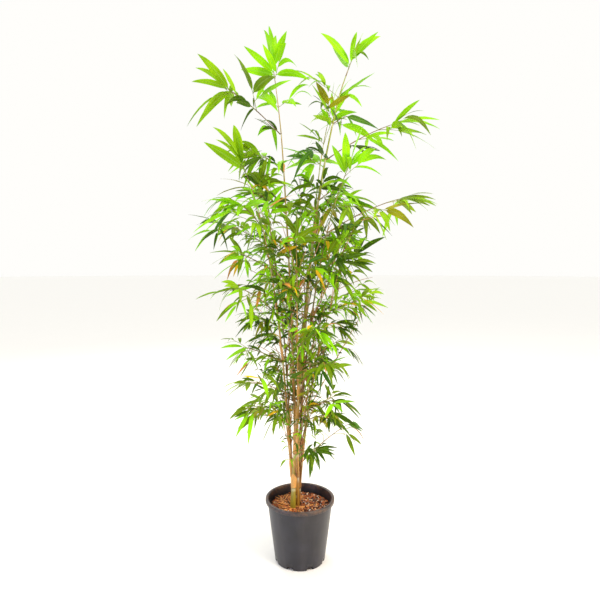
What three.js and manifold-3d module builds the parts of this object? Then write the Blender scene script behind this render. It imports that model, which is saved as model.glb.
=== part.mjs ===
// A clumping bamboo in a round nursery pot. Slim canes rise close together from the potting mix and
// spread as they climb. Each carries sprays: a thin branch, its twigs, and fans of narrow leaves.
// Sizes are millimetres, +Z is up, and the origin is the middle of the pot's flat underside.
// Seen along +Y, the plant stands as it does in the picture, with +X to the right.
import * as THREE from 'three';
import { mergeVertices } from 'three/addons/utils/BufferGeometryUtils.js';
import Module from 'manifold-3d';

const wasm = await Module();
wasm.setup();

const POT = {
  height: 150,
  rimRadius: 82.5,
  bodyTopRadius: 77.5,
  baseRadius: 60,
  wall: 1.8,
  floor: 2.4,
  lipHeight: 9,
  edge: 1.5,
  sides: 28,
  notches: 8,
  notchWidth: 15,
  notchHeight: 7,
};
const SOIL_TOP = POT.height - 18;
const CLUMP = { x: -17, y: -19 };

// The gap between pieces that touch, the grid that a mesh's corners lie on, and the least height of
// a face.
const GAP = 0.3;
const GRID = 0.001;
const THINNEST = 0.0006;
// Shares of a leaf's or twig's size that it is shifted by, in turn, until its joint is a clean one.
const SHIFTS = [0, 0.013, 0.031, -0.017, 0.047, 0.062, -0.026, 0.079, 0.022, 0.1];

// One row for each cane: the way that it leans, how far its tip stands out from its foot, the height
// of its tip, its radius and how much wider its foot is, which way its foot stands from the main
// cane's and how far, how many sprays it carries below its tip, how far up the first one is, and
// which of them is a long shoot. Azimuth 0 is +X and 90 is +Y.
const CANE_FIELDS = [
  'name', 'azimuth', 'reach', 'top', 'radius', 'flare', 'side', 'foot', 'sprays', 'from', 'long',
];
const CANES = [
  ['main', 22, 135, 1150, 5.2, 0.45, 0, 0, 7, 0.26, 5],
  ['tall', 168, 48, 1120, 3.6, 0.15, 57, 14, 7, 0.23, 6],
  ['right_front', 328, 118, 880, 3.2, 0.15, 73, 24.5, 5, 0.24, 4],
  ['left_front', 212, 112, 890, 3.3, 0.15, 91, 18, 5, 0.27, 2],
  ['right_back', 52, 118, 1060, 3.4, 0.15, 65, 33, 5, 0.3, 1],
  ['left_back', 128, 112, 840, 3.0, 0.15, 90, 29.5, 5, 0.24, 4],
  ['front', 268, 92, 730, 2.8, 0.15, 15, 13, 4, 0.2, 1],
  ['right_low', 4, 112, 690, 2.8, 0.15, 52, 23.5, 4, 0.17, 0],
].map((row) => Object.fromEntries(row.map((value, i) => [CANE_FIELDS[i], value])));
const CANE_TAPER = 0.76;
const FOOT_HEIGHT = 46;
const CANE_MARKS = 48;

// Where sprays leave a cane, as shares of its length, and how their branches grow. A pair of numbers
// is a range, and angles are in degrees.
const SPRAY = {
  highest: 0.9,
  length: 92,
  longer: [1.1, 0.9],
  vary: [0.85, 1.15],
  longShoot: 2.1,
  tipLength: 52,
  radius: 1.5,
  tipRadius: 1.05,
  angle: [62, 40],
  aside: [35, 80],
  outward: 0.75,
  sag: 0.16,
  tipSag: 0.05,
  turns: 24,
};
const TWIG = {
  count: 2,
  fewerAbove: 860,
  length: 46,
  vary: [0.75, 1.3],
  radius: 1.15,
  tipRadius: 0.95,
  angle: [30, 54],
  roll: 45,
  along: [0.24, 0.88],
  alongLong: [0.3, 0.86],
  sag: 0.12,
};
const LEAF = {
  length: [54, 112],
  heights: [460, 1100],
  vary: [0.74, 1.16],
  widthShare: 0.178,
  thickShare: 0.019,
  widest: 0.32,
  sink: 0.9,
  spacing: 6.5,
  onTwig: 3,
  onBranch: 4,
  onTip: 6,
  onLongTwig: 2,
  tipTurn: 115,
  spread: 66,
  jitter: 8,
  roll: 55,
  tilt: 35,
  lowLift: [-0.75, 0.05],
  highLift: [-0.25, 0.4],
  sag: [0.04, 0.24],
  shrink: 0.04,
  tries: 8,
};
const REACH = { radius: 345, top: 1262, floor: 16 };
const CLEAR = { cane: 1.4, space: 0.8, branch: 9, pot: 4, leaf: 1.5 };

const UP = new THREE.Vector3(0, 0, 1);
const RIGHT = new THREE.Vector3(1, 0, 0);
const degrees = THREE.MathUtils.degToRad;
const mix = THREE.MathUtils.lerp;
const within = (range, share) => mix(range[0], range[1], share);
const eitherWay = (most, share) => within([-most, most], share);

// Numbers from 0 to 1 that are the same on every run.
function seeded(seed) {
  let state = seed * 7919 + 12345;
  const draw = () => {
    state = (state * 48271) % 2147483647;
    return state / 2147483647;
  };
  draw();
  return draw;
}

// A direction given by its azimuth in degrees, level with the ground.
function level(azimuth) {
  return new THREE.Vector3(Math.cos(degrees(azimuth)), Math.sin(degrees(azimuth)), 0);
}

// The unit vector across a limb, level where the limb isn't upright.
function acrossOf(along, reference) {
  return along.clone().cross(reference).normalize();
}

function referenceFor(along) {
  return Math.abs(along.z) > 0.8 ? RIGHT : UP;
}

// A direction turned from one way towards another, at right angles to it, by an angle.
function turned(along, side, angle) {
  return along.clone().multiplyScalar(Math.cos(angle)).addScaledVector(side, Math.sin(angle));
}

// A closed three.js geometry as a solid that can be joined and cut.
function solidOf(geometry) {
  const bare = geometry.clone();
  bare.deleteAttribute('normal');
  bare.deleteAttribute('uv');
  const merged = mergeVertices(bare, GRID);
  return new wasm.Manifold(new wasm.Mesh({
    numProp: 3,
    vertProperties: new Float32Array(merged.getAttribute('position').array),
    triVerts: new Uint32Array(merged.index.array),
  }));
}

function geometryOf(solid) {
  const mesh = solid.getMesh();
  const geometry = new THREE.BufferGeometry();
  geometry.setAttribute('position', new THREE.BufferAttribute(mesh.vertProperties, 3));
  geometry.setIndex(new THREE.BufferAttribute(mesh.triVerts, 1));
  geometry.computeVertexNormals();
  return geometry;
}

// A cylinder bent along a path, with its radius given along it from 0 to 1. Its foot is cut square
// to the path, or to the direction given.
function bentTube(path, radiusAt, sides, segments, footAlong = null) {
  const geometry = new THREE.CylinderGeometry(1, 1, 1, sides, segments);
  const position = geometry.getAttribute('position');
  const reference = referenceFor(path.getTangent(0.5));
  for (let i = 0; i < position.count; i++) {
    const share = THREE.MathUtils.clamp(position.getY(i) + 0.5, 0, 1);
    const along = share === 0 && footAlong ? footAlong : path.getTangent(share);
    const across = acrossOf(along, reference);
    const over = across.clone().cross(along);
    const radius = radiusAt(share);
    const point = path.getPoint(share)
      .addScaledVector(across, position.getX(i) * radius)
      .addScaledVector(over, position.getZ(i) * radius);
    position.setXYZ(i, point.x, point.y, point.z);
  }
  return geometry;
}

// The pot: a lathed wall, floor and rolled lip, with drain notches cut round its foot.
function makePot() {
  const { height, rimRadius, bodyTopRadius, baseRadius, wall, floor, lipHeight, edge } = POT;
  const inner = bodyTopRadius - wall;
  const outline = new THREE.Path();
  outline.moveTo(0, 0);
  outline.lineTo(baseRadius - edge, 0);
  outline.lineTo(baseRadius, edge);
  outline.lineTo(bodyTopRadius, height - lipHeight);
  outline.lineTo(rimRadius, height - lipHeight + edge);
  outline.lineTo(rimRadius, height - edge);
  outline.lineTo(rimRadius - edge, height);
  outline.lineTo(inner + edge, height);
  outline.lineTo(inner, height - edge);
  outline.lineTo(baseRadius - wall, floor);
  outline.lineTo(0, floor);
  const shell = new THREE.LatheGeometry(outline.getPoints(), POT.sides);
  shell.rotateX(Math.PI / 2);
  let pot = solidOf(shell);
  for (let k = 0; k < POT.notches; k++) {
    const notch = new THREE.BoxGeometry(POT.notchWidth, POT.notchWidth, 2 * POT.notchHeight);
    notch.translate(baseRadius, 0, 0);
    notch.rotateZ((2 * Math.PI * (k + 0.5)) / POT.notches);
    pot = pot.subtract(solidOf(notch));
  }
  return geometryOf(pot);
}

// The potting mix fills the pot to a little under its rim.
function makeSoil() {
  const { height, bodyTopRadius, baseRadius, wall, floor, lipHeight, edge } = POT;
  const slope = (bodyTopRadius - baseRadius) / (height - lipHeight);
  const radiusAt = (z) => baseRadius - wall - edge + slope * (z - floor);
  const foot = floor + GAP;
  const outline = [[0, foot], [radiusAt(foot), foot], [radiusAt(SOIL_TOP), SOIL_TOP], [0, SOIL_TOP]];
  const soil = new THREE.LatheGeometry(outline.map(([x, y]) => new THREE.Vector2(x, y)), POT.sides);
  soil.rotateX(Math.PI / 2);
  return geometryOf(solidOf(soil));
}

// The line of a cane: upright at its foot, and leaning over more and more towards its tip.
function canePath(cane) {
  const lean = level(cane.azimuth);
  const foot = new THREE.Vector3(CLUMP.x, CLUMP.y, SOIL_TOP + GAP)
    .addScaledVector(level(cane.side), cane.foot);
  const rise = cane.top - foot.z;
  const at = (out, up) => foot.clone()
    .addScaledVector(lean, out * cane.reach)
    .addScaledVector(UP, up * rise);
  return new THREE.CubicBezierCurve3(foot, at(0.1, 0.36), at(0.42, 0.8), at(1, 1));
}

// A cane's radius: a flared foot, then an even taper.
function caneRadius(cane, share) {
  const height = share * (cane.top - SOIL_TOP);
  const flare = cane.flare * Math.max(0, 1 - height / FOOT_HEIGHT);
  return cane.radius * (1 + flare - CANE_TAPER * share);
}

const canes = CANES.map((cane) => {
  const path = canePath(cane);
  const marks = Array.from({ length: CANE_MARKS + 1 }, (_, i) => ({
    point: path.getPoint(i / CANE_MARKS),
    radius: caneRadius(cane, i / CANE_MARKS),
  }));
  return { ...cane, path, marks };
});

function distanceToSegment(point, from, to) {
  const line = to.clone().sub(from);
  const share = THREE.MathUtils.clamp(point.clone().sub(from).dot(line) / line.lengthSq(), 0, 1);
  return point.distanceTo(from.clone().addScaledVector(line, share));
}

// True where a ball round the point keeps clear of a cane.
function clearOfCane(cane, point, radius) {
  return cane.marks.slice(1).every((mark, i) => {
    const { point: below, radius: thickness } = cane.marks[i];
    return distanceToSegment(point, below, mark.point) > thickness + radius + CLEAR.cane;
  });
}

function clearOfCanes(point, radius, except = null) {
  return canes.every((cane) => cane === except || clearOfCane(cane, point, radius));
}

// True where a ball round the point is off the ground, off the pot and inside the crown's reach.
function withinReach(point, radius) {
  const out = Math.hypot(point.x, point.y);
  const overPot = point.z > POT.height + radius + CLEAR.pot;
  const besidePot = out > POT.rimRadius + radius + CLEAR.pot;
  return out + radius < REACH.radius && point.z + radius < REACH.top
    && point.z - radius > REACH.floor && (overPot || besidePot);
}

function distanceToStem(point, spray) {
  return Math.min(
    distanceToSegment(point, spray.line[0], spray.line[1]),
    distanceToSegment(point, spray.line[1], spray.line[2]),
  );
}

// A spray's branch: a curve that leaves its root along a direction and sags under its leaves.
function branchPath(root, direction, length, sag) {
  const bend = root.clone().addScaledVector(direction, 0.55 * length);
  const end = root.clone().addScaledVector(direction, length).addScaledVector(UP, -sag * length);
  return new THREE.QuadraticBezierCurve3(root, bend, end);
}

// True where a branch keeps clear of the canes, of the other branches and of the pot. Its root may
// lie close to the cane that carries it.
function branchFits(path, cane, sprays) {
  for (let i = 1; i <= 10; i++) {
    const point = path.getPoint(i / 10);
    const radius = 2 * SPRAY.radius;
    if (!withinReach(point, radius) || !clearOfCanes(point, radius, i < 4 ? cane : null)) return false;
    if (sprays.some((other) => distanceToStem(point, other) < CLEAR.branch)) return false;
  }
  return true;
}

// The branch at one place on a cane: the first of a row of turns about the cane that fits.
function sideBranch(cane, share, number, random, sprays) {
  const along = cane.path.getTangent(share);
  const foot = cane.path.getPoint(share);
  const long = number === cane.long;
  const length = SPRAY.length * within(SPRAY.longer, share) * within(SPRAY.vary, random())
    * (long ? SPRAY.longShoot : 1);
  const start = cane.azimuth + (number % 2 ? -1 : 1) * within(SPRAY.aside, random());
  for (let turn = 0; turn < SPRAY.turns; turn++) {
    const swing = (turn % 2 ? 1 : -1) * Math.ceil(turn / 2) * (360 / SPRAY.turns);
    const out = level(start + swing).addScaledVector(level(cane.azimuth), SPRAY.outward);
    out.addScaledVector(along, -out.dot(along)).normalize();
    const angle = degrees(within(SPRAY.angle, share));
    const direction = turned(along, out, angle);
    const offset = caneRadius(cane, share) + GAP + SPRAY.radius * Math.cos(angle);
    const root = foot.clone().addScaledVector(out, offset);
    const path = branchPath(root, direction, length, SPRAY.sag);
    if (branchFits(path, cane, sprays)) return { path, length, long };
  }
  return null;
}

// The branch that goes on from a cane's tip.
function tipBranch(cane) {
  const along = cane.path.getTangent(1);
  const root = cane.path.getPoint(1).addScaledVector(along, GAP);
  const length = SPRAY.tipLength;
  return { path: branchPath(root, along, length, SPRAY.tipSag), length, long: false };
}

// Every spray's branch, from the lowest on each cane to the one at its tip.
function planSprays() {
  const sprays = [];
  canes.forEach((cane, c) => {
    for (let k = 0; k <= cane.sprays; k++) {
      const random = seeded(100 * (c + 1) + k);
      const atTip = k === cane.sprays;
      const share = within([cane.from, SPRAY.highest], k / (cane.sprays - 0.4));
      const branch = atTip ? tipBranch(cane) : sideBranch(cane, share, k, random, sprays);
      if (branch) {
        const name = `foliage_${cane.name}_${atTip ? 'tip' : k + 1}`;
        const { path } = branch;
        const line = [path.getPoint(0), path.getPoint(0.5), path.getPoint(1)];
        sprays.push({ ...branch, name, cane, atTip, random, line });
      }
    }
  });
  return sprays;
}

const sprays = planSprays();

// True where a ball round the point lies in the spray's own space, nearer to its branch than to any
// other, and clear of the canes, the pot and the ground.
function inOwnSpace(spray, point, radius) {
  const own = distanceToStem(point, spray) + 2 * radius + CLEAR.space;
  return withinReach(point, radius)
    && sprays.every((other) => other === spray || distanceToStem(point, other) > own)
    && clearOfCanes(point, radius);
}

// A leaf: its root, its widest place, its tip, and half its width and thickness there.
function leafAt(root, direction, over, length, sag) {
  const across = acrossOf(direction, over);
  const normal = across.clone().cross(direction);
  const base = root.clone().addScaledVector(direction, -LEAF.sink);
  const widest = base.clone().addScaledVector(direction, LEAF.widest * length)
    .addScaledVector(UP, 0.1 * sag * length);
  const tip = base.clone().addScaledVector(direction, length).addScaledVector(UP, -sag * length);
  return {
    base,
    widest,
    tip,
    across,
    normal,
    halfWidth: 0.5 * LEAF.widthShare * length,
    halfThick: 0.5 * LEAF.thickShare * length,
  };
}

// True where the whole leaf lies in its spray's own space and stands off the leaves before it.
function leafFits(spray, leaf, leaves) {
  for (let i = 1; i <= 8; i++) {
    const share = i / 8;
    const fromBase = share < LEAF.widest;
    const point = fromBase
      ? leaf.base.clone().lerp(leaf.widest, share / LEAF.widest)
      : leaf.widest.clone().lerp(leaf.tip, (share - LEAF.widest) / (1 - LEAF.widest));
    const taper = fromBase ? share / LEAF.widest : (1 - share) / (1 - LEAF.widest);
    const halfWidth = leaf.halfWidth * Math.max(taper, 0.1);
    if (!inOwnSpace(spray, point, halfWidth)) return false;
    const near = 0.6 * halfWidth + CLEAR.leaf;
    if (leaves.some((other) => distanceToLeaf(point, other) < near)) return false;
  }
  return true;
}

// How far a point is from the midrib of a leaf.
function distanceToLeaf(point, leaf) {
  return Math.min(
    distanceToSegment(point, leaf.base, leaf.widest),
    distanceToSegment(point, leaf.widest, leaf.tip),
  );
}

// A fan of leaves round the end of a twig, opening from its tip back, by turns on either hand. With a
// turn in degrees each leaf also stands that much further round the twig than the one before.
function growFan(spray, path, length, count, leaves, turn = 0) {
  const { random } = spray;
  const along = path.getTangent(1);
  const side = acrossOf(along, referenceFor(along));
  side.applyAxisAngle(along, degrees(eitherWay(LEAF.roll, random())));
  const over = side.clone().cross(along);
  if (over.z < 0) over.negate();
  const height = THREE.MathUtils.smoothstep(spray.line[0].z, ...LEAF.heights);
  const first = random() < 0.5 ? 1 : -1;
  for (let k = 0; k < count; k++) {
    const root = path.getPoint(Math.max(0.25, 1 - (k * LEAF.spacing) / length));
    const about = degrees(k * turn);
    const outward = side.clone().applyAxisAngle(along, about);
    for (let attempt = 0; attempt < LEAF.tries; attempt++) {
      const hand = k % 2 ? first : -first;
      const opened = LEAF.spread * ((k + 0.35) / count);
      const angle = degrees(hand * opened + eitherWay(LEAF.jitter, random()));
      const direction = turned(along, outward, angle);
      const lift = random();
      direction.addScaledVector(UP, mix(within(LEAF.lowLift, lift), within(LEAF.highLift, lift), height));
      direction.normalize();
      const size = within(LEAF.length, height) * within(LEAF.vary, random()) * (1 - LEAF.shrink * attempt);
      const face = over.clone().applyAxisAngle(along, about)
        .applyAxisAngle(direction, degrees(eitherWay(LEAF.tilt, random())));
      const leaf = leafAt(root, direction, face, size, within(LEAF.sag, random()));
      if (leafFits(spray, leaf, leaves)) {
        leaves.push(leaf);
        break;
      }
    }
  }
}

// A twig on one hand of a spray's branch, or null where none fits.
function growTwig(spray, share, hand) {
  const { path, random } = spray;
  const root = path.getPoint(share);
  const along = path.getTangent(share);
  const side = acrossOf(along, referenceFor(along)).multiplyScalar(hand);
  for (let attempt = 0; attempt < LEAF.tries; attempt++) {
    const angle = degrees(within(TWIG.angle, random()));
    const out = side.clone().applyAxisAngle(along, degrees(eitherWay(TWIG.roll, random())));
    const length = TWIG.length * within(TWIG.vary, random());
    const twig = branchPath(root, turned(along, out, angle), length, TWIG.sag);
    if ([0.4, 0.7, 1].every((at) => inOwnSpace(spray, twig.getPoint(at), 2 * TWIG.radius))) {
      return { path: twig, length };
    }
  }
  return null;
}

// The twigs of a spray, on each hand in turn, and its leaves.
function growSpray(spray) {
  const leaves = [];
  const twigs = [];
  const { atTip, long } = spray;
  const high = spray.line[0].z > TWIG.fewerAbove;
  const atEnd = atTip ? LEAF.onTip : LEAF.onBranch;
  growFan(spray, spray.path, spray.length, atEnd, leaves, atTip ? LEAF.tipTurn : 0);
  const count = atTip ? 0 : TWIG.count + (long ? 1 : 0) - (high ? 1 : 0);
  for (let k = 0; k < count; k++) {
    const share = within(long ? TWIG.alongLong : TWIG.along, (k + 0.4) / count);
    const twig = growTwig(spray, share, k % 2 ? 1 : -1);
    if (twig) {
      twigs.push(twig);
      growFan(spray, twig.path, twig.length, long ? LEAF.onLongTwig : LEAF.onTwig, leaves);
    }
  }
  return { twigs, leaves };
}

// A leaf as two long pyramids, foot to foot at the leaf's widest place, with its root sunk deeper
// by a shift along the leaf.
function leafGeometry(leaf, shift) {
  const root = leaf.base.clone().lerp(leaf.widest, -shift);
  const geometry = new THREE.OctahedronGeometry(1, 0);
  const position = geometry.getAttribute('position');
  for (let i = 0; i < position.count; i++) {
    const end = Math.round(position.getY(i));
    const point = end === 0
      ? leaf.widest.clone()
        .addScaledVector(leaf.across, position.getX(i) * leaf.halfWidth)
        .addScaledVector(leaf.normal, position.getZ(i) * leaf.halfThick)
      : (end > 0 ? leaf.tip : root);
    position.setXYZ(i, point.x, point.y, point.z);
  }
  return geometry;
}

// The least height of a triangle.
function heightOf(geometry, ...corners) {
  const position = geometry.getAttribute('position');
  const [a, b, c] = corners.map((i) => new THREE.Vector3().fromBufferAttribute(position, i));
  const longest = Math.max(a.distanceTo(b), b.distanceTo(c), c.distanceTo(a));
  return (2 * new THREE.Triangle(a, b, c).getArea()) / longest;
}

// A solid's mesh with its corners on a fine grid, or null where that would leave a face too thin to
// keep, or an edge that isn't shared by just two faces.
function settled(solid) {
  const mesh = solid.getMesh();
  const onGrid = mesh.vertProperties.map((value) => Math.round(value / GRID) * GRID);
  const loose = new THREE.BufferGeometry();
  loose.setAttribute('position', new THREE.BufferAttribute(onGrid, 3));
  loose.setIndex(new THREE.BufferAttribute(mesh.triVerts, 1));
  const merged = mergeVertices(loose, GRID / 10);
  const corners = merged.index.array;
  const faces = [];
  const edges = new Set();
  for (let i = 0; i < corners.length; i += 3) {
    const [a, b, c] = corners.subarray(i, i + 3);
    if (a === b || b === c || c === a) continue;
    if (heightOf(merged, a, b, c) < THINNEST) return null;
    faces.push(a, b, c);
    for (const edge of [`${a} ${b}`, `${b} ${c}`, `${c} ${a}`]) {
      if (edges.has(edge)) return null;
      edges.add(edge);
    }
  }
  const paired = [...edges].every((edge) => edges.has(edge.split(' ').reverse().join(' ')));
  merged.setIndex(faces);
  return paired ? merged : null;
}

// The body with a piece joined on. The first of the shapes given for the piece whose joint leaves
// one closed body is taken, and where none does, the body stays as it is.
function joined(body, shapes) {
  for (const shape of shapes) {
    const geometry = settled(body.add(solidOf(shape)));
    if (geometry) {
      const both = solidOf(geometry);
      if (both.decompose().length === 1) return both;
    }
  }
  return body;
}

// One spray as a solid: its branch, its twigs and its leaves.
function makeSpray(spray) {
  const { twigs, leaves } = growSpray(spray);
  const root = spray.atTip ? caneRadius(spray.cane, 1) : SPRAY.radius;
  let body = solidOf(bentTube(spray.path, (share) => mix(root, SPRAY.tipRadius, share), 3, 2));
  twigs.forEach(({ path }) => {
    body = joined(body, SHIFTS.map((shift) => {
      const scale = 1 + 2 * shift;
      return bentTube(path, (share) => scale * mix(TWIG.radius, TWIG.tipRadius, share), 3, 1);
    }));
  });
  leaves.forEach((leaf) => {
    body = joined(body, SHIFTS.map((shift) => leafGeometry(leaf, shift)));
  });
  return geometryOf(body);
}

function makeCane(cane) {
  return bentTube(cane.path, (share) => caneRadius(cane, share), 6, 12, UP);
}

const FINISH = {
  pot: { color: 0x23262c, roughness: 0.45, metalness: 0 },
  soil: { color: 0x5a3d2b, roughness: 0.95, metalness: 0 },
  cane: { color: 0xa39a45, roughness: 0.5, metalness: 0 },
  foliage: { color: 0x66a82e, roughness: 0.55, metalness: 0 },
};

const plant = new THREE.Group();

function addNode(name, geometry, finish) {
  const mesh = new THREE.Mesh(geometry, new THREE.MeshStandardMaterial(FINISH[finish]));
  mesh.name = name;
  plant.add(mesh);
}

addNode('pot', makePot(), 'pot');
addNode('soil', makeSoil(), 'soil');
canes.forEach((cane) => addNode(`cane_${cane.name}`, makeCane(cane), 'cane'));
sprays.forEach((spray) => addNode(spray.name, makeSpray(spray), 'foliage'));

export default plant;
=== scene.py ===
"""A clumping bamboo in a black nursery pot: canes, branches, leaves, potting mix and pot.

The plant is grown by a seeded rule from a few rows of sizes, in millimetres, and made in metres.
"""

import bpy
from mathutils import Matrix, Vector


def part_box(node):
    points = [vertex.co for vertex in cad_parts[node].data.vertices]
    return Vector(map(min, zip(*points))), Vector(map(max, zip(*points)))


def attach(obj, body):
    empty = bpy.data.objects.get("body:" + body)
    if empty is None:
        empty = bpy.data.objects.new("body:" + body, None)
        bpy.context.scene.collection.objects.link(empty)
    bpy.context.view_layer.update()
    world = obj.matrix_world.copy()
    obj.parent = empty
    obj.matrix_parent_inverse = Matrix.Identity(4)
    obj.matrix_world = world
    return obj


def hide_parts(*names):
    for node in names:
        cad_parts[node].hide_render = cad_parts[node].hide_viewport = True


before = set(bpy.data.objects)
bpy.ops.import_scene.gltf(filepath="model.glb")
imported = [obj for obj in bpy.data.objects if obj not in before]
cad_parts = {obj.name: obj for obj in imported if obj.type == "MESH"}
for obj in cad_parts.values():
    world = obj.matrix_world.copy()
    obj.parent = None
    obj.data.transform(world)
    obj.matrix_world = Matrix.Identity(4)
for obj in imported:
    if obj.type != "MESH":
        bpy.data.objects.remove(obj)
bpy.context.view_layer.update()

import copy
import functools
import math

import bmesh
import bpy
import numpy as np
from bpy.props import FloatProperty, FloatVectorProperty, IntProperty, PointerProperty
from mathutils import Matrix, Vector, noise

bl_info = {
    "name": "Potted Bamboo",
    "version": (1, 0, 0),
    "blender": (4, 5, 0),
    "location": "View3D > Sidebar > Bamboo",
    "description": "Grows a clump of bamboo in a nursery pot, with its potting mix and a plain stage",
    "category": "Add Mesh",
}

BODY = "root"
MM = 0.001

# The growing rule's sizes, in millimetres and degrees. A pair of numbers is a range.
POT_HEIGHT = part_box("pot")[1].z / MM
POT_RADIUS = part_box("pot")[1].x / MM
SOIL_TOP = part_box("soil")[1].z / MM
GAP = 0.3
CLUMP = np.array([-17.0, -19.0, 0.0])
# One row for each cane: the way that it leans, how far its tip stands out from its foot, the height of
# its tip, its radius and how much wider its foot is, which way its foot stands from the main cane's and
# how far, how many sprays it carries below its tip, how far up the first is, and which one is long.
CANE_FIELDS = (
    "name", "azimuth", "reach", "top", "radius", "flare", "side", "foot", "sprays", "start", "long",
)
CANE_ROWS = (
    ("main", 22, 135, 1150, 5.2, 0.45, 0, 0, 7, 0.26, 5),
    ("tall", 168, 48, 1120, 3.6, 0.15, 57, 14, 7, 0.23, 6),
    ("right_front", 328, 118, 880, 3.2, 0.15, 73, 24.5, 5, 0.24, 4),
    ("left_front", 212, 112, 890, 3.3, 0.15, 91, 18, 5, 0.27, 2),
    ("right_back", 52, 118, 1060, 3.4, 0.15, 65, 33, 5, 0.3, 1),
    ("left_back", 128, 112, 840, 3.0, 0.15, 90, 29.5, 5, 0.24, 4),
    ("front", 268, 92, 730, 2.8, 0.15, 15, 13, 4, 0.2, 1),
    ("right_low", 4, 112, 690, 2.8, 0.15, 52, 23.5, 4, 0.17, 0),
)
CANE_TAPER = 0.76
FOOT_HEIGHT = 46
CANE_MARKS = 48
# The control points of a cane's line, as shares of its reach and of its rise, and how far along a branch
# its middle one is.
CANE_LINE = ((0, 0), (0.1, 0.36), (0.42, 0.8), (1, 1))
BRANCH_BEND = 0.55
# Where sprays leave a cane, as shares of its length, and how their branches grow. The stretch spaces the
# sprays a little wider than evenly.
SPRAY = dict(
    highest=0.9, stretch=0.4, length=92, longer=(1.1, 0.9), vary=(0.85, 1.15), long_shoot=2.1,
    tip_length=52, radius=1.5, angle=(62, 40), aside=(35, 80), outward=0.75, sag=0.16, tip_sag=0.05,
    turns=24,
)
TWIG = dict(
    count=2, fewer_above=860, length=46, vary=(0.75, 1.3), radius=1.15, angle=(30, 54), roll=45,
    along=(0.24, 0.88), along_long=(0.3, 0.86), inset=0.4, sag=0.12, tests=(0.4, 0.7, 1),
)
LEAF = dict(
    length=(54, 112), heights=(460, 1100), vary=(0.74, 1.16), width_share=0.178, widest=0.32, hump=0.1,
    sink=0.9, spacing=6.5, lowest=0.25, on_twig=3, on_branch=4, on_tip=6, on_long_twig=2, tip_turn=115,
    spread=66, opening=0.35, jitter=8, roll=55, tilt=35, low_lift=(-0.75, 0.05), high_lift=(-0.25, 0.4),
    sag=(0.04, 0.24), shrink=0.04, tries=8,
)
REACH = dict(radius=345, top=1262, floor=16)
CLEAR = dict(cane=1.4, space=0.8, branch=9, pot=4, leaf=1.5)
# A branch is tested for room at ten places, of which the first three are beside the cane that carries it.
# A leaf is tested at eight, with its width there but no less than a share of its widest, and stands off
# other leaves by a share of that width. A fine leaf needs less room.
BRANCH_TESTS, NEAR_TESTS, LEAF_TESTS = 10, 3, 8
LEAF_ROOM = dict(least=0.1, apart=0.6, fine_apart=0.25, fine_radius=0.5)

# How far apart a cane's joints are between its sprays, and how high the lowest stands over the mix, on
# the main cane and on the others.
JOINT_SPACING = 82
FIRST_JOINT = 45
OTHER_FIRST_JOINTS = (24, 74)

# The finer growth that goes on from the rule's twigs, within the same reach.
FINE = dict(
    branch_spacing=(25, 72), long_spacing=85, tip_twigs=(3, 1), heights=(560, 960), start=0.14, spread=0.8,
    twig_length=(24, 56), twig_leaves=4, side_along=(0.35, 0.6), side_length=(16, 32), side_leaves=3,
    leaf_size=(0.5, 0.88), spacing=(7, 13), lift=(-0.6, 0.5), sag=(0.04, 0.6),
)
# Leafy tufts at the canes' joints: how many a joint has below and above a height and how likely each is,
# and how they grow.
TUFT = dict(
    dense_top=860, below=(5, 0.8), above=(2, 0.45), lowest=320, highest=0.93, jitter=0.5, length=(22, 88),
    angle=(28, 74), sag=0.12, tip_leaves=4, leaf_size=(0.4, 0.78), side_share=0.7, side_along=(0.3, 0.65),
)
# Bare dry branchlets at the joints.
BARE = dict(count=3, likely=0.65, highest=820, length=(45, 150), angle=(14, 62), sag=0.12)
# Thin shoots that rise beside the canes from their lower joints.
SHOOT = dict(
    count=2, likely=0.75, lowest=190, highest=640, length=(120, 340), angle=(6, 24), sag=0.03,
    spacing=(26, 48), along=(0.2, 0.92), twig_length=(14, 40), leaves=3, tip_leaves=4, leaf_size=(0.34, 0.7),
)
# What these three share: short ones are commoner by a power, each is tested for room at four places, and
# a leafy one belongs to the spray that is nearest to its leafy part.
BRANCHLET = dict(power=1.3, tests=(0.4, 0.6, 0.8, 1), leafy=0.8)
# Real thicknesses, from the root to the tip of a branch, a side shoot, a twig and a fine twig.
BRANCH_RADII = (1.25, 0.65)
SHOOT_RADII = (1.15, 0.5)
TWIG_RADII = (0.8, 0.45)
FINE_RADII = (0.6, 0.38)

# The rule's generator of numbers, how a seed starts it, and the first seed of each use.
DRAW_FACTOR, DRAW_MODULUS = 48271, 2147483647
SEED_FACTOR, SEED_START = 7919, 12345
SEEDS = dict(spray=100, joint=2000, kink=3000, husk=5000, tone=6000, fine=7000, shoot=8000, tuft=9000)

UP = np.array([0.0, 0.0, 1.0])
RIGHT = np.array([1.0, 0.0, 0.0])
# A direction that rises more than this is steep, and is set against RIGHT rather than UP.
STEEP = 0.8


def mix(low, high, share):
    return low * (1 - share) + high * share


def within(span, share):
    return mix(span[0], span[1], share)


def either_way(most, share):
    return mix(-most, most, share)


def by_turns(number):
    """Minus one for an even number and one for an odd one, for growth on either hand in turn."""
    return 1 if number % 2 else -1


def smooth_share(value, low, high):
    """How far a value is between two others, eased at both ends."""
    share = min(max((value - low) / (high - low), 0.0), 1.0)
    return share * share * (3 - 2 * share)


def seeded(seed):
    """Numbers from 0 to 1 that are the same on every run."""
    state = seed * SEED_FACTOR + SEED_START

    def draw():
        nonlocal state
        state = (state * DRAW_FACTOR) % DRAW_MODULUS
        return state / DRAW_MODULUS

    draw()
    return draw


def level(azimuth):
    """A direction level with the ground, from its azimuth in degrees."""
    return np.array([math.cos(math.radians(azimuth)), math.sin(math.radians(azimuth)), 0.0])


def unit(vector):
    return vector / math.sqrt(vector @ vector)


def across_of(along, reference):
    return unit(np.cross(along, reference))


def reference_for(along):
    return RIGHT if abs(along[2]) > STEEP else UP


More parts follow.
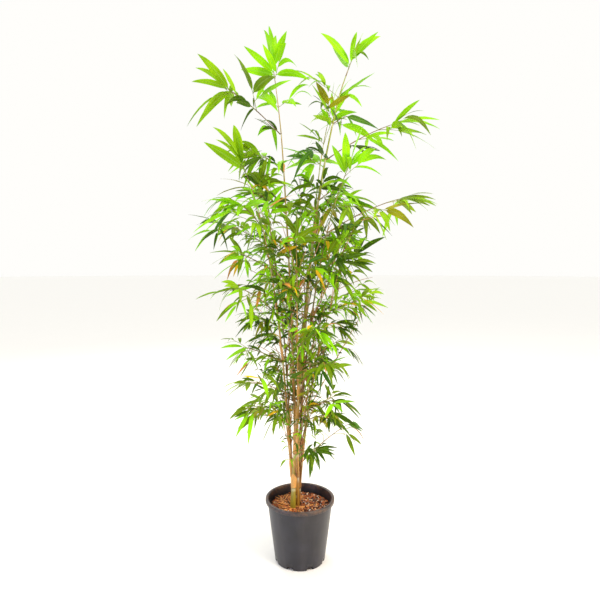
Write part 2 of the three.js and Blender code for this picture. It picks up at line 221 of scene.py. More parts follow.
def turned(along, side, angle):
    """A direction turned from one way towards another, at right angles to it."""
    return along * math.cos(angle) + side * math.sin(angle)


def about(vector, axis, angle):
    """A vector turned about an axis."""
    cosine = math.cos(angle)
    return vector * cosine + np.cross(axis, vector) * math.sin(angle) + axis * (axis @ vector) * (1 - cosine)


class Curve:
    """A Bezier curve through three or four control points."""

    STEP = 1e-4

    def __init__(self, *controls):
        self.controls = np.array(controls)
        count = len(controls) - 1
        self.weights = [math.comb(count, i) for i in range(count + 1)]

    def point(self, share):
        count = len(self.weights) - 1
        terms = [w * (1 - share) ** (count - i) * share ** i for i, w in enumerate(self.weights)]
        return np.array(terms) @ self.controls

    def tangent(self, share):
        low = max(share - self.STEP, 0.0)
        high = min(share + self.STEP, 1.0)
        return unit(self.point(high) - self.point(low))


def branch_path(root, direction, length, sag):
    """The line of a branch or twig: off along a direction, and sagging under its leaves."""
    bend = root + direction * (BRANCH_BEND * length)
    end = root + direction * length - UP * (sag * length)
    return Curve(root, bend, end)


def gaps(points, starts, ends):
    """The distance of each point from each segment."""
    line = ends - starts
    away = points[:, None, :] - starts[None]
    share = np.clip((away * line).sum(2) / (line * line).sum(1), 0, 1)
    return np.linalg.norm(away - line * share[..., None], axis=2)


class Cane:
    """One cane: its sizes, its line, and marks along it with its thickness there."""

    def __init__(self, number, row):
        self.number = number
        for field, value in zip(CANE_FIELDS, row):
            setattr(self, field, value)
        self.length = self.top - SOIL_TOP
        lean = level(self.azimuth)
        foot = CLUMP + UP * (SOIL_TOP + GAP) + level(self.side) * self.foot
        rise = self.top - foot[2]
        self.path = Curve(*(foot + lean * (out * self.reach) + UP * (up * rise) for out, up in CANE_LINE))
        shares = [i / CANE_MARKS for i in range(CANE_MARKS + 1)]
        self.points = np.array([self.path.point(share) for share in shares])
        self.radii = np.array([self.radius_at(share) for share in shares])

    def radius_at(self, share):
        flare = self.flare * max(0.0, 1 - share * self.length / FOOT_HEIGHT)
        return self.radius * (1 + flare - CANE_TAPER * share)


class Plant:
    """The whole plant's plan: canes, sprays, twigs and leaves, all in millimetres."""

    def __init__(self):
        self.fans = 0
        self.bare_twigs = []
        self.canes = [Cane(i, row) for i, row in enumerate(CANE_ROWS)]
        self.starts = np.concatenate([cane.points[:-1] for cane in self.canes])
        self.ends = np.concatenate([cane.points[1:] for cane in self.canes])
        self.thickness = np.concatenate([cane.radii[:-1] for cane in self.canes])
        self.owner = np.repeat(np.arange(len(self.canes)), CANE_MARKS)
        self.sprays = []
        for cane in self.canes:
            self.plan_cane(cane)
        self.stem_starts, self.stem_ends = self.stems()
        for spray in self.sprays:
            self.grow_spray(spray)
        for spray in self.sprays:
            self.grow_finer(spray)
        self.grow_tufts()
        self.grow_shoots()

    def clear_of_canes(self, points, radii, spared=None):
        """True for each ball that keeps clear of every cane."""
        far = gaps(points, self.starts, self.ends) > self.thickness + radii[:, None] + CLEAR["cane"]
        if spared is not None:
            far = far | (self.owner == spared)
        return far.all(axis=1)

    @staticmethod
    def within_reach(points, radii):
        """True for each ball that is off the ground, off the pot and inside the crown's reach."""
        out = np.hypot(points[:, 0], points[:, 1])
        height = points[:, 2]
        over_pot = height > POT_HEIGHT + radii + CLEAR["pot"]
        beside_pot = out > POT_RADIUS + radii + CLEAR["pot"]
        inside = (out + radii < REACH["radius"]) & (height + radii < REACH["top"])
        return inside & (height - radii > REACH["floor"]) & (over_pot | beside_pot)

    def stems(self):
        """The starts and the ends of the two segments of every spray's branch."""
        lines = [spray["line"] for spray in self.sprays]
        return np.concatenate([line[:-1] for line in lines]), np.concatenate([line[1:] for line in lines])

    def stem_gaps(self, points):
        """The distance of each point from each spray's branch."""
        return gaps(points, self.stem_starts, self.stem_ends).reshape(len(points), -1, 2).min(axis=2)

    def free(self, points, radii):
        """True where every ball is inside the crown's reach and clear of the canes."""
        return bool(self.within_reach(points, radii).all()) and bool(self.clear_of_canes(points, radii).all())

    def in_own_space(self, spray, points, radii):
        """True where every ball is nearer to its own spray's branch than to any other, and clear."""
        if not self.within_reach(points, radii).all():
            return False
        distances = self.stem_gaps(points)
        own = distances[:, spray["number"]] + 2 * radii + CLEAR["space"]
        distances[:, spray["number"]] = np.inf
        return bool((distances > own[:, None]).all()) and bool(self.clear_of_canes(points, radii).all())

    def branch_fits(self, path, cane):
        """True where a branch is within reach, clear of the canes and clear of the branches before it."""
        points = np.array([path.point(i / BRANCH_TESTS) for i in range(1, BRANCH_TESTS + 1)])
        radii = np.full(BRANCH_TESTS, 2.0 * SPRAY["radius"])
        near, far = slice(NEAR_TESTS), slice(NEAR_TESTS, None)
        if not self.within_reach(points, radii).all():
            return False
        if not self.clear_of_canes(points[near], radii[near], cane.number).all():
            return False
        if not self.clear_of_canes(points[far], radii[far]).all():
            return False
        return not self.sprays or bool((gaps(points, *self.stems()) >= CLEAR["branch"]).all())

    def side_branch(self, cane, share, number, draw):
        """The branch at one place on a cane: the first of a row of turns about the cane that fits."""
        along = cane.path.tangent(share)
        foot = cane.path.point(share)
        long = number == cane.long
        length = SPRAY["length"] * within(SPRAY["longer"], share) * within(SPRAY["vary"], draw())
        length *= SPRAY["long_shoot"] if long else 1
        start = cane.azimuth - by_turns(number) * within(SPRAY["aside"], draw())
        for turn in range(SPRAY["turns"]):
            swing = by_turns(turn) * math.ceil(turn / 2) * (360 / SPRAY["turns"])
            out = level(start + swing) + level(cane.azimuth) * SPRAY["outward"]
            out = unit(out - along * (out @ along))
            angle = math.radians(within(SPRAY["angle"], share))
            direction = turned(along, out, angle)
            root = foot + out * (cane.radius_at(share) + GAP + SPRAY["radius"] * math.cos(angle))
            path = branch_path(root, direction, length, SPRAY["sag"])
            if self.branch_fits(path, cane):
                return path, length, long
        return None

    def plan_cane(self, cane):
        """The branches of a cane's sprays, from the lowest to the one at its tip."""
        for k in range(cane.sprays + 1):
            draw = seeded(SEEDS["spray"] * (cane.number + 1) + k)
            at_tip = k == cane.sprays
            share = within((cane.start, SPRAY["highest"]), k / (cane.sprays - SPRAY["stretch"]))
            if at_tip:
                along = cane.path.tangent(1)
                root = cane.path.point(1) + along * GAP
                length = SPRAY["tip_length"]
                found = branch_path(root, along, length, SPRAY["tip_sag"]), length, False
            else:
                found = self.side_branch(cane, share, k, draw)
            if found:
                path, length, long = found
                self.sprays.append(dict(
                    name=f"foliage_{cane.name}_{'tip' if at_tip else k + 1}", number=len(self.sprays),
                    cane=cane, at_tip=at_tip, share=share, draw=draw, path=path, length=length, long=long,
                    line=np.array([path.point(at) for at in (0, 0.5, 1)]), twigs=[], leaves=[],
                ))

    def joint_shares(self, cane):
        """Where a cane's joints are: at each spray, and spaced out evenly between them."""
        draw = seeded(SEEDS["joint"] + cane.number)
        first = FIRST_JOINT if cane.number == 0 else within(OTHER_FIRST_JOINTS, draw())
        own = [spray["share"] for spray in self.sprays if spray["cane"] is cane and not spray["at_tip"]]
        fixed = sorted([first / cane.length] + own) + [1.0]
        shares = []
        for low, high in zip(fixed, fixed[1:]):
            parts = max(1, round((high - low) * cane.length / JOINT_SPACING))
            shares += [mix(low, high, k / parts) for k in range(parts)]
        return shares

    @staticmethod
    def leaf_at(root, direction, over, length, sag):
        """A leaf: its root, its widest place and its tip, and half its width."""
        base = root - direction * LEAF["sink"]
        return dict(
            base=base, direction=direction, across=across_of(direction, over), length=length, sag=sag,
            widest=base + direction * (LEAF["widest"] * length) + UP * (LEAF["hump"] * sag * length),
            tip=base + direction * length - UP * (sag * length),
            half_width=0.5 * LEAF["width_share"] * length,
        )

    def leaf_fits(self, spray, leaf, fine):
        """True where the whole leaf lies in its spray's space and stands off the leaves before it.

        A fine leaf may reach into the space of other sprays, and lie closer to its neighbours.
        """
        shares = np.arange(1, LEAF_TESTS + 1) / LEAF_TESTS
        widest = LEAF["widest"]
        first = shares < widest
        near = leaf["base"] + np.outer(shares / widest, leaf["widest"] - leaf["base"])
        far = leaf["widest"] + np.outer((shares - widest) / (1 - widest), leaf["tip"] - leaf["widest"])
        points = np.where(first[:, None], near, far)
        taper = np.where(first, shares / widest, (1 - shares) / (1 - widest))
        radii = leaf["half_width"] * np.maximum(taper, LEAF_ROOM["least"])
        if fine and not self.free(points, LEAF_ROOM["fine_radius"] * radii):
            return False
        if not fine and not self.in_own_space(spray, points, radii):
            return False
        if not spray["leaves"]:
            return True
        bases, middles, tips = (np.array([other[key] for other in spray["leaves"]])
                                for key in ("base", "widest", "tip"))
        nearest = np.minimum(gaps(points, bases, middles), gaps(points, middles, tips)).min(axis=1)
        apart = LEAF_ROOM["fine_apart" if fine else "apart"]
        return bool((nearest >= apart * radii + CLEAR["leaf"]).all())

    def grow_fan(self, spray, path, length, count, draw, fine=None, turn=0):
        """A fan of leaves round the end of a twig, opening from its tip back, by turns on either hand.

        The leaves of a fine twig have the range of sizes given. With a turn in degrees each leaf also stands
        that much further round the twig than the one before.
        """
        along = path.tangent(1)
        side = across_of(along, reference_for(along))
        side = about(side, along, math.radians(either_way(LEAF["roll"], draw())))
        over = np.cross(side, along)
        if over[2] < 0:
            over = -over
        height = smooth_share(spray["line"][0][2], *LEAF["heights"])
        first = 1 if draw() < 0.5 else -1
        self.fans += 1
        spacing = within(FINE["spacing"], draw()) if fine else LEAF["spacing"]
        for k in range(count):
            root = path.point(max(LEAF["lowest"], 1 - (k * spacing) / length))
            outward = about(side, along, math.radians(k * turn))
            facing = about(over, along, math.radians(k * turn))
            opened = LEAF["spread"] * ((k + LEAF["opening"]) / count)
            for attempt in range(LEAF["tries"]):
                angle = math.radians(first * by_turns(k) * opened + either_way(LEAF["jitter"], draw()))
                direction = turned(along, outward, angle)
                lift = draw()
                rise = mix(within(LEAF["low_lift"], lift), within(LEAF["high_lift"], lift), height)
                if fine:
                    rise = 0.5 * (rise + within(FINE["lift"], draw()))
                direction = unit(direction + UP * rise)
                size = within(LEAF["length"], height) * within(LEAF["vary"], draw())
                size *= 1 - LEAF["shrink"] * attempt
                face = about(facing, direction, math.radians(either_way(LEAF["tilt"], draw())))
                sag = within(FINE["sag"] if fine else LEAF["sag"], draw())
                size *= within(fine, draw()) if fine else 1
                leaf = self.leaf_at(root, direction, face, size, sag)
                if self.leaf_fits(spray, leaf, fine):
                    leaf["fan"] = self.fans
                    spray["leaves"].append(leaf)
                    break

    def find_twig(self, spray, path, share, hand, draw, lengths=None):
        """A twig on one hand of a branch, or none where none fits. A fine one has its own lengths."""
        root = path.point(share)
        along = path.tangent(share)
        side = across_of(along, reference_for(along)) * hand
        for _ in range(LEAF["tries"]):
            angle = math.radians(within(TWIG["angle"], draw()))
            out = about(side, along, math.radians(either_way(TWIG["roll"], draw())))
            length = within(lengths, draw()) if lengths else TWIG["length"] * within(TWIG["vary"], draw())
            twig = branch_path(root, turned(along, out, angle), length, TWIG["sag"])
            points = np.array([twig.point(at) for at in TWIG["tests"]])
            radii = np.full(len(points), 2 * TWIG["radius"])
            if self.free(points, radii) if lengths else self.in_own_space(spray, points, radii):
                return twig, length
        return None

    def add_twig(self, spray, found, radii, leaves, draw, sizes=None):
        """Gives a spray a twig that was found for it, with its fan of leaves."""
        path, length = found
        spray["twigs"].append(dict(path=path, length=length, radii=radii))
        self.grow_fan(spray, path, length, leaves, draw, sizes)

    def grow_spray(self, spray):
        """The twigs of a spray, on each hand in turn, and its leaves."""
        draw, path, long = spray["draw"], spray["path"], spray["long"]
        if spray["at_tip"]:
            self.grow_fan(spray, path, spray["length"], LEAF["on_tip"], draw, turn=LEAF["tip_turn"])
            return
        self.grow_fan(spray, path, spray["length"], LEAF["on_branch"], draw)
        high = spray["line"][0][2] > TWIG["fewer_above"]
        twigs = TWIG["count"] + (1 if long else 0) - (1 if high else 0)
        for k in range(twigs):
            share = within(TWIG["along_long" if long else "along"], (k + TWIG["inset"]) / twigs)
            found = self.find_twig(spray, path, share, by_turns(k), draw)
            if found:
                self.add_twig(spray, found, TWIG_RADII, LEAF["on_long_twig" if long else "on_twig"], draw)

    def grow_fine_twig(self, spray, path, share, hand, lengths, leaves, draw, sizes=FINE["leaf_size"]):
        """A fine twig on a branch or twig, with its fan of smaller leaves."""
        found = self.find_twig(spray, path, share, hand, draw, lengths)
        if found:
            self.add_twig(spray, found, FINE_RADII, leaves, draw, sizes)

    def grow_finer(self, spray):
        """Finer twigs with smaller leaves, between the twigs of a spray and on them."""
        draw = seeded(SEEDS["fine"] + spray["number"])
        coarse = list(spray["twigs"])
        height = smooth_share(spray["line"][0][2], *FINE["heights"])
        spacing = FINE["long_spacing"] if spray["long"] else within(FINE["branch_spacing"], height)
        count = round(within(FINE["tip_twigs"], height) if spray["at_tip"] else spray["length"] / spacing)
        for k in range(count):
            share = FINE["start"] + FINE["spread"] * (k + draw()) / count
            self.grow_fine_twig(spray, spray["path"], share, by_turns(k), FINE["twig_length"],
                                FINE["twig_leaves"], draw)
        for k, twig in enumerate(coarse):
            self.grow_fine_twig(spray, twig["path"], within(FINE["side_along"], draw()), by_turns(k),
                                FINE["side_length"], FINE["side_leaves"], draw)

    def branchlet(self, cane, share, azimuth, habit, draw):
        """A short branch straight from a cane's joint, or none where it doesn't fit."""
        along = cane.path.tangent(share)
        out = level(azimuth)
        out = unit(out - along * (out @ along))
        angle = math.radians(within(habit["angle"], draw()))
        length = within(habit["length"], draw() ** BRANCHLET["power"])
        root = cane.path.point(share) + out * cane.radius_at(share)
        path = branch_path(root, turned(along, out, angle), length, habit["sag"])
        points = np.array([path.point(at) for at in BRANCHLET["tests"]])
        return (path, length) if self.free(points, np.full(len(points), 2 * TWIG["radius"])) else None

    def leafy_branchlet(self, cane, share, azimuth, habit, radii, draw):
        """A branchlet with its fan, and the spray that it goes to, or none where it doesn't fit."""
        found = self.branchlet(cane, share, azimuth, habit, draw)
        if not found:
            return None
        leafy = found[0].point(BRANCHLET["leafy"])
        spray = self.sprays[int(self.stem_gaps(leafy[None])[0].argmin())]
        self.add_twig(spray, found, radii, habit["tip_leaves"], draw, habit["leaf_size"])
        return spray, *found

    def grow_tufts(self):
        """Short branchlets, leafy and bare, straight from the canes' joints."""
        for cane in self.canes:
            draw = seeded(SEEDS["tuft"] + cane.number)
            for share in self.joint_shares(cane):
                height = cane.path.point(share)[2]
                if height < TUFT["lowest"] or share > TUFT["highest"]:
                    continue
                count, likely = TUFT["below" if height < TUFT["dense_top"] else "above"]
                start = 360 * draw()
                for k in range(count):
                    if draw() < likely:
                        self.grow_tuft(cane, share, start + 360 * (k + TUFT["jitter"] * draw()) / count, draw)
                for _ in range(BARE["count"] if height < BARE["highest"] else 0):
                    if draw() < BARE["likely"]:
                        found = self.branchlet(cane, share, 360 * draw(), BARE, draw)
                        self.bare_twigs += [found] if found else []

    def grow_tuft(self, cane, share, azimuth, draw):
        """One leafy branchlet at a joint, often with a side twig."""
        grown = self.leafy_branchlet(cane, share, azimuth, TUFT, FINE_RADII, draw)
        if grown and draw() < TUFT["side_share"]:
            spray, path, _ = grown
            self.grow_fine_twig(spray, path, within(TUFT["side_along"], draw()), 1 if draw() < 0.5 else -1,
                                FINE["side_length"], FINE["side_leaves"], draw, TUFT["leaf_size"])

    def grow_shoots(self):
        """Thin shoots that rise beside the canes, with small leaves on short twigs."""
        for cane in self.canes:
            draw = seeded(SEEDS["shoot"] + cane.number)
            for share in self.joint_shares(cane):
                if SHOOT["lowest"] < cane.path.point(share)[2] < SHOOT["highest"]:
                    for _ in range(SHOOT["count"]):
                        if draw() < SHOOT["likely"]:
                            self.grow_shoot(cane, share, 360 * draw(), draw)

    def grow_shoot(self, cane, share, azimuth, draw):
        """One side shoot, with a twig every few centimetres and a fan at its tip."""
        grown = self.leafy_branchlet(cane, share, azimuth, SHOOT, SHOOT_RADII, draw)
        if grown:
            spray, path, length = grown
            count = round(length / within(SHOOT["spacing"], draw()))
            for k in range(count):
                at = within(SHOOT["along"], (k + draw()) / count)
                self.grow_fine_twig(spray, path, at, by_turns(k), SHOOT["twig_length"], SHOOT["leaves"],
                                    draw, SHOOT["leaf_size"])


@functools.lru_cache(maxsize=1)
def plant():
    """The plan, worked out once."""
    return Plant()


# Colours and materials


def linear(code):
    """An sRGB hex colour as linear red, green, blue and alpha."""
    channels = [int(code[i:i + 2], 16) / 255 for i in (1, 3, 5)]
    return [c / 12.92 if c <= 0.04045 else ((c + 0.055) / 1.055) ** 2.4 for c in channels] + [1.0]


def rgba(colour):
    """A colour that is given as sRGB hex, or as a setting's linear values, with its alpha."""
    return linear(colour) if isinstance(colour, str) else [*colour][:3] + [1.0]


def toned(colour, factor, other="#ffffff", share=0.0):
    """A colour made darker or lighter by a factor, and mixed with a share of another."""
    return [mix(min(c * factor, 1.0), o, share) for c, o in zip(rgba(colour)[:3], rgba(other))] + [1.0]


def in_use(sockets, key=0):
    """The socket with a name, or at a number, among those that a node's settings leave in use."""
    live = [socket for socket in sockets if socket.enabled]
    return live[key] if isinstance(key, int) else next(socket for socket in live if socket.name == key)


def put(tree, kind, settings=(), links=()):
    """Adds a shader node, with its settings and the sockets or nodes that feed it.

    The stops of a colour ramp are pairs of a place and a colour.
    """
    node = tree.nodes.new("ShaderNode" + kind)
    for key, value in dict(settings).items():
        if key == "stops":
            elements = node.color_ramp.elements
            while len(elements) < len(value):
                elements.new(0.5)
            for element, (place, colour) in zip(elements, value):
                element.position = place
                element.color = rgba(colour)
        elif isinstance(key, str) and key in node.bl_rna.properties:
            setattr(node, key, value)
        else:
            socket = in_use(node.inputs, key)
            socket.default_value = rgba(value) if socket.type == "RGBA" else value
    for key, source in dict(links).items():
        feed = in_use(source.outputs) if isinstance(source, bpy.types.Node) else source
        tree.links.new(feed, in_use(node.inputs, key))
    return node


def new_material(name):
    """A material with an empty node tree, and the coordinates that its patterns read."""
    material = bpy.data.materials.new(name)
    material.use_nodes = True
    tree = material.node_tree
    tree.nodes.clear()
    return material, tree, put(tree, "TexCoord").outputs


def surface(tree, settings, links, relief=None, depth_mm=0.0, strength=1.0):
    """Ends a material with its shader, and with relief from a pattern, its depth in millimetres."""
    if relief is not None:
        bump = put(tree, "Bump", {"Distance": depth_mm * MM, "Strength": strength}, {"Height": relief})
        links = {**links, "Normal": bump}
    shader = put(tree, "BsdfPrincipled", settings, links)
    put(tree, "OutputMaterial", links={"Surface": shader})


def blotches(tree, place, size_mm, detail=3.0, roughness=0.5, stretch=(1, 1, 1)):
    """A pattern of blotches that measure about size_mm."""
    mapped = put(tree, "Mapping", {"Scale": stretch}, {"Vector": place})
    settings = {"Scale": 1 / (size_mm * MM), "Detail": detail, "Roughness": roughness}
    return put(tree, "TexNoise", settings, {"Vector": mapped})


def pot_material(skin, dust_colour):
    """Injection-moulded polypropylene, carbon black: a satin gloss, with dust and faint drag marks."""
    material, tree, at = new_material("moulded_polypropylene")
    place = at["Object"]
    patches = blotches(tree, place, 38, 4)
    streaks = blotches(tree, place, 30, 3, stretch=(1, 1, 0.12))
    # Dust and dried drips grey the black in upright streaks.
    shades = ((0.3, toned(skin, 0.6)), (0.55, skin), (0.78, toned(skin, 1.6)))
    black = put(tree, "ValToRGB", {"stops": shades}, {0: patches})
    drips = put(tree, "ValToRGB", {"stops": ((0.45, "#000000"), (0.8, "#5e574e"))}, {0: streaks})
    greyed = put(tree, "Mix", {"data_type": "RGBA", "blend_type": "ADD", "Factor": 0.2},
                 {"A": black, "B": drips})
    # Bark dust sticks to the lip, which it turns brown.
    height = put(tree, "SeparateXYZ", links={0: place}).outputs["Z"]
    low, high = (z * MM for z in LIP_DUST)
    near_lip = put(tree, "MapRange", {"From Min": low, "From Max": high, "To Max": 0.75}, {"Value": height})
    specks = put(tree, "MapRange", {"From Min": 0.35, "From Max": 0.62},
                 {"Value": blotches(tree, place, 9, 4)})
    share = put(tree, "Math", {"operation": "MULTIPLY"}, {0: near_lip, 1: specks})
    dusty = put(tree, "Mix", {"data_type": "RGBA", "B": dust_colour}, {"Factor": share, "A": greyed})
    gloss = put(tree, "MapRange", {"To Min": 0.26, "To Max": 0.46}, {"Value": patches})
    # The mould's grain, drawn at 1.2 mm so that it shows.
    grain = blotches(tree, place, 1.2, 2)
    surface(tree, {"IOR": 1.49}, {"Base Color": dusty, "Roughness": gloss}, grain, 0.05, 0.4)
    return material


def mix_material():
    """Composted bark: dark, damp and crumbly between the chips."""
    material, tree, at = new_material("composted_bark")
    crumbs = blotches(tree, at["Object"], 5, 5, 0.65)
    browns = ((0.3, "#1c0f09"), (0.5, "#432213"), (0.66, "#743c1c"), (0.8, "#9c5f30"))
    colour = put(tree, "ValToRGB", {"stops": browns}, {0: crumbs})
    surface(tree, {"Roughness": 0.9}, {"Base Color": colour}, crumbs, 1.4)
    return material


def chip_material(name, colour):
    """Pine bark, wood or straw: fibrous, matt, darker where damp."""
    material, tree, at = new_material(name)
    fibres = blotches(tree, at["Object"], 4, 4, 0.6, stretch=(1, 0.35, 1))
    shades = ((0.3, toned(colour, 0.45)), (0.5, colour), (0.7, toned(colour, 1.6)))
    shaded = put(tree, "ValToRGB", {"stops": shades}, {0: fibres})
    surface(tree, {"Roughness": 0.75}, {"Base Color": shaded}, fibres, 0.5)
    return material


def perlite_material():
    """Expanded perlite: chalk-white crumbs with fine pores."""
    material, tree, at = new_material("expanded_perlite")
    pores = blotches(tree, at["Object"], 1.5, 2)
    colour = put(tree, "ValToRGB", {"stops": ((0.3, "#cfc4b4"), (0.6, "#f4efe6"))}, {0: pores})
    surface(tree, {"Roughness": 0.95}, {"Base Color": colour}, pores, 0.3)
    return material


# The height at which a cane has the colour of its top.
YOUNG_HEIGHT = 900


def culm_material(name, low, middle, high):
    """Living bamboo culm: a hard waxy skin, streaked along its length, with a ring at each joint."""
    material, tree, at = new_material(name)
    place = at["Object"]
    height = put(tree, "SeparateXYZ", links={0: place}).outputs["Z"]
    span = {"From Min": SOIL_TOP * MM, "From Max": YOUNG_HEIGHT * MM}
    rise = put(tree, "MapRange", span, {"Value": height})
    base = put(tree, "ValToRGB", {"stops": ((0.0, low), (0.09, low), (0.2, middle), (1.0, high))}, {0: rise})
    # Vascular streaks, drawn 1.5 mm wide and 60 mm long.
    streaks = blotches(tree, place, 1.5, 3, stretch=(1, 1, 0.025))
    shade = put(tree, "ValToRGB", {"stops": ((0.35, "#8a8478"), (0.6, "#ffffff"))}, {0: streaks})
    streaked = put(tree, "Mix", {"data_type": "RGBA", "blend_type": "MULTIPLY", "Factor": 0.45},
                   {"A": base, "B": shade})
    # Worn patches are tan, the waxy bloom below a joint is pale, and its sheath scar is a dark line.
    patches = blotches(tree, place, 26, 3, stretch=(1, 1, 0.5))
    worn = put(tree, "MapRange", {"From Min": 0.52, "From Max": 0.72, "To Max": 0.7}, {"Value": patches})
    colour = put(tree, "Mix", {"data_type": "RGBA", "B": "#b88430"}, {"Factor": worn, "A": streaked})
    for attribute, tint in (("joint_bloom", "#d6d2b0"), ("joint_ring", "#5b3f20")):
        share = put(tree, "Attribute", {"attribute_name": attribute}).outputs["Fac"]
        colour = put(tree, "Mix", {"data_type": "RGBA", "B": tint}, {"Factor": share, "A": colour})
    surface(tree, {"Roughness": 0.38, "Coat Weight": 0.15}, {"Base Color": colour}, streaks, 0.12)
    return material


def sheath_material(husk):
    """Culm sheath: a dry papery husk, straw to rust, ribbed along its length."""
    material, tree, at = new_material("papery_culm_sheath")
    mapped = put(tree, "Mapping", {"Scale": (14, 0.8, 1)}, {"Vector": at["UV"]})
    ribs = put(tree, "TexNoise", {"Scale": 3.0, "Detail": 3.0}, {"Vector": mapped})
    shades = ((0.3, toned(husk, 0.5)), (0.5, husk), (0.72, toned(husk, 1.2, "#f4dca8", 0.4)))
    colour = put(tree, "ValToRGB", {"stops": shades}, {0: ribs})
    finish = {"Roughness": 0.6, "Subsurface Weight": 0.12, "Subsurface Scale": 0.001}
    surface(tree, finish, {"Base Color": colour}, ribs, 0.25)
    return material


def twig_material(name, dark, light):
    """Branch skin: smooth, half-gloss, olive to purple-brown."""
    material, tree, at = new_material(name)
    patches = blotches(tree, at["Object"], 18, 3)
    colour = put(tree, "ValToRGB", {"stops": ((0.35, dark), (0.65, light))}, {0: patches})
    surface(tree, {"Roughness": 0.48}, {"Base Color": colour}, blotches(tree, at["Object"], 0.8, 2), 0.05)
    return material


# Real veins lie half a millimetre apart. They are drawn three to a blade, so that they show.
VEINS = 3


def leaf_material(name, body):
    """Bamboo leaf blade: thin and matt, with a pale midrib, fine parallel veins and a glow through it."""
    material, tree, at = new_material(name)
    patches = blotches(tree, at["Object"], 60, 1)
    shades = ((0.34, toned(body, 0.66)), (0.5, body), (0.66, toned(body, 1.34)))
    tint = put(tree, "ValToRGB", {"stops": shades}, {0: patches})
    pale = toned(body, 1.0, "#e4f0b0", 0.16)
    across = put(tree, "SeparateXYZ", links={0: at["UV"]}).outputs["X"]
    turns = put(tree, "Math", {"operation": "MULTIPLY", 1: VEINS * 2 * math.pi}, {0: across})
    wave = put(tree, "Math", {"operation": "SINE"}, {0: turns})
    veins = put(tree, "MapRange", {"From Min": -1.0, "To Max": 0.09}, {"Value": wave})
    lined = put(tree, "Mix", {"data_type": "RGBA", "B": pale}, {"Factor": veins, "A": tint})
    # The midrib is a pale line with soft edges, down the middle.
    offset = put(tree, "Math", {"operation": "SUBTRACT", 1: 0.5}, {0: across})
    away = put(tree, "Math", {"operation": "ABSOLUTE"}, {0: offset})
    span = {"From Min": 0.02, "From Max": 0.07, "To Min": 0.6, "To Max": 0.0}
    rib = put(tree, "MapRange", span, {"Value": away})
    colour = put(tree, "Mix", {"data_type": "RGBA", "B": pale}, {"Factor": rib, "A": lined})
    finish = {
        "Roughness": 0.52, "Specular IOR Level": 0.1, "Specular Tint": "#ffe98c", "Subsurface Weight": 0.2,
        "Subsurface Radius": (0.7, 1.0, 0.1), "Subsurface Scale": 0.0015,
    }
    surface(tree, finish, {"Base Color": colour}, wave, 0.05)
    return material


def floor_material(colour):
    """A plain pale floor, matt and faintly mottled."""
    material, tree, at = new_material("pale_floor")
    tone = put(tree, "MapRange", {"To Min": 0.985}, {"Value": blotches(tree, at["Object"], 400, 2)})
    toning = {"data_type": "RGBA", "blend_type": "MULTIPLY", "Factor": 1.0, "A": colour}
    mottled = put(tree, "Mix", toning, {"B": tone})
    surface(tree, {"Roughness": 0.7}, {"Base Color": mottled})
    return material


# Shapes

# A face that spans more than this share of a round piece's map lies across its seam.
SEAM_SPAN = 0.6


class Shape:
    """A small mesh kept as arrays, so that many bent copies of it can be joined in one piece."""

    def __init__(self, bm, uv_of=None):
        bm.verts.ensure_lookup_table()
        self.co = np.array([v.co for v in bm.verts])
        self.loops = np.array([i for f in bm.faces for i in self.from_lowest(f)])
        self.sizes = np.array([len(f.verts) for f in bm.faces])
        self.uv = None
        if uv_of:
            self.uv = np.array([uv_of(self.co[i]) for i in self.loops])
            ends = np.cumsum(self.sizes)
            # A face that crosses the seam of a round piece keeps its corners together.
            for start, end in zip(ends - self.sizes, ends):
                across = self.uv[start:end, 0]
                if across.max() - across.min() > SEAM_SPAN:
                    across[across < 1 - SEAM_SPAN] += 1
        bm.free()

    @staticmethod
    def from_lowest(face):
        """A face's corners from its lowest in Y and X on, so that both sides of a thin shape split alike."""
        order = [v.index for v in face.verts]
        places = [(round(v.co.y, 3), round(v.co.x, 3)) for v in face.verts]
        first = places.index(min(places))
        return order[first:] + order[:first]

    def reshaped(self, corners):
        """The same faces with other corners."""
        other = copy.copy(self)
        other.co = corners
        return other


def shown(name, mesh, sharp):
    """An object of a mesh, smooth but for edges sharper than an angle in degrees."""
    mesh.polygons.foreach_set("use_smooth", np.ones(len(mesh.polygons), bool))
    mesh.set_sharp_from_angle(angle=math.radians(sharp))
    made = bpy.data.objects.new(name, mesh)
    bpy.context.scene.collection.objects.link(made)
    return made


def piece(name, parts, attributes=None, sharp=48):
    """A mesh object made by joining (shape, corners) parts, with a value at each corner for an attribute."""
    shapes = [shape for shape, _ in parts]
    corners = np.concatenate([co for _, co in parts])
    sizes = np.concatenate([shape.sizes for shape in shapes])
    bases = np.cumsum([0] + [len(co) for _, co in parts[:-1]])
    loops = np.concatenate([shape.loops + base for shape, base in zip(shapes, bases)])
    mesh = bpy.data.meshes.new(name)
    mesh.vertices.add(len(corners))
    mesh.vertices.foreach_set("co", (corners * MM).astype(np.float32).ravel())
    mesh.loops.add(len(loops))
    mesh.loops.foreach_set("vertex_index", loops.astype(np.int32))
    mesh.polygons.add(len(sizes))
    mesh.polygons.foreach_set("loop_start", (np.cumsum(sizes) - sizes).astype(np.int32))
    mesh.update(calc_edges=True)
    if all(shape.uv is not None for shape in shapes):
        places = np.concatenate([shape.uv for shape in shapes]).astype(np.float32)
        mesh.uv_layers.new(name="UVMap").uv.foreach_set("vector", places.ravel())
    for key, values in (attributes or {}).items():
        attribute = mesh.attributes.new(key, "FLOAT", "POINT")
        attribute.data.foreach_set("value", values.astype(np.float32))
    return shown(name, mesh, sharp)


def from_bmesh(name, bm, sharp=40):
    """A mesh object from a bmesh."""
    mesh = bpy.data.meshes.new(name)
    bm.to_mesh(mesh)
    bm.free()
    return shown(name, mesh, sharp)


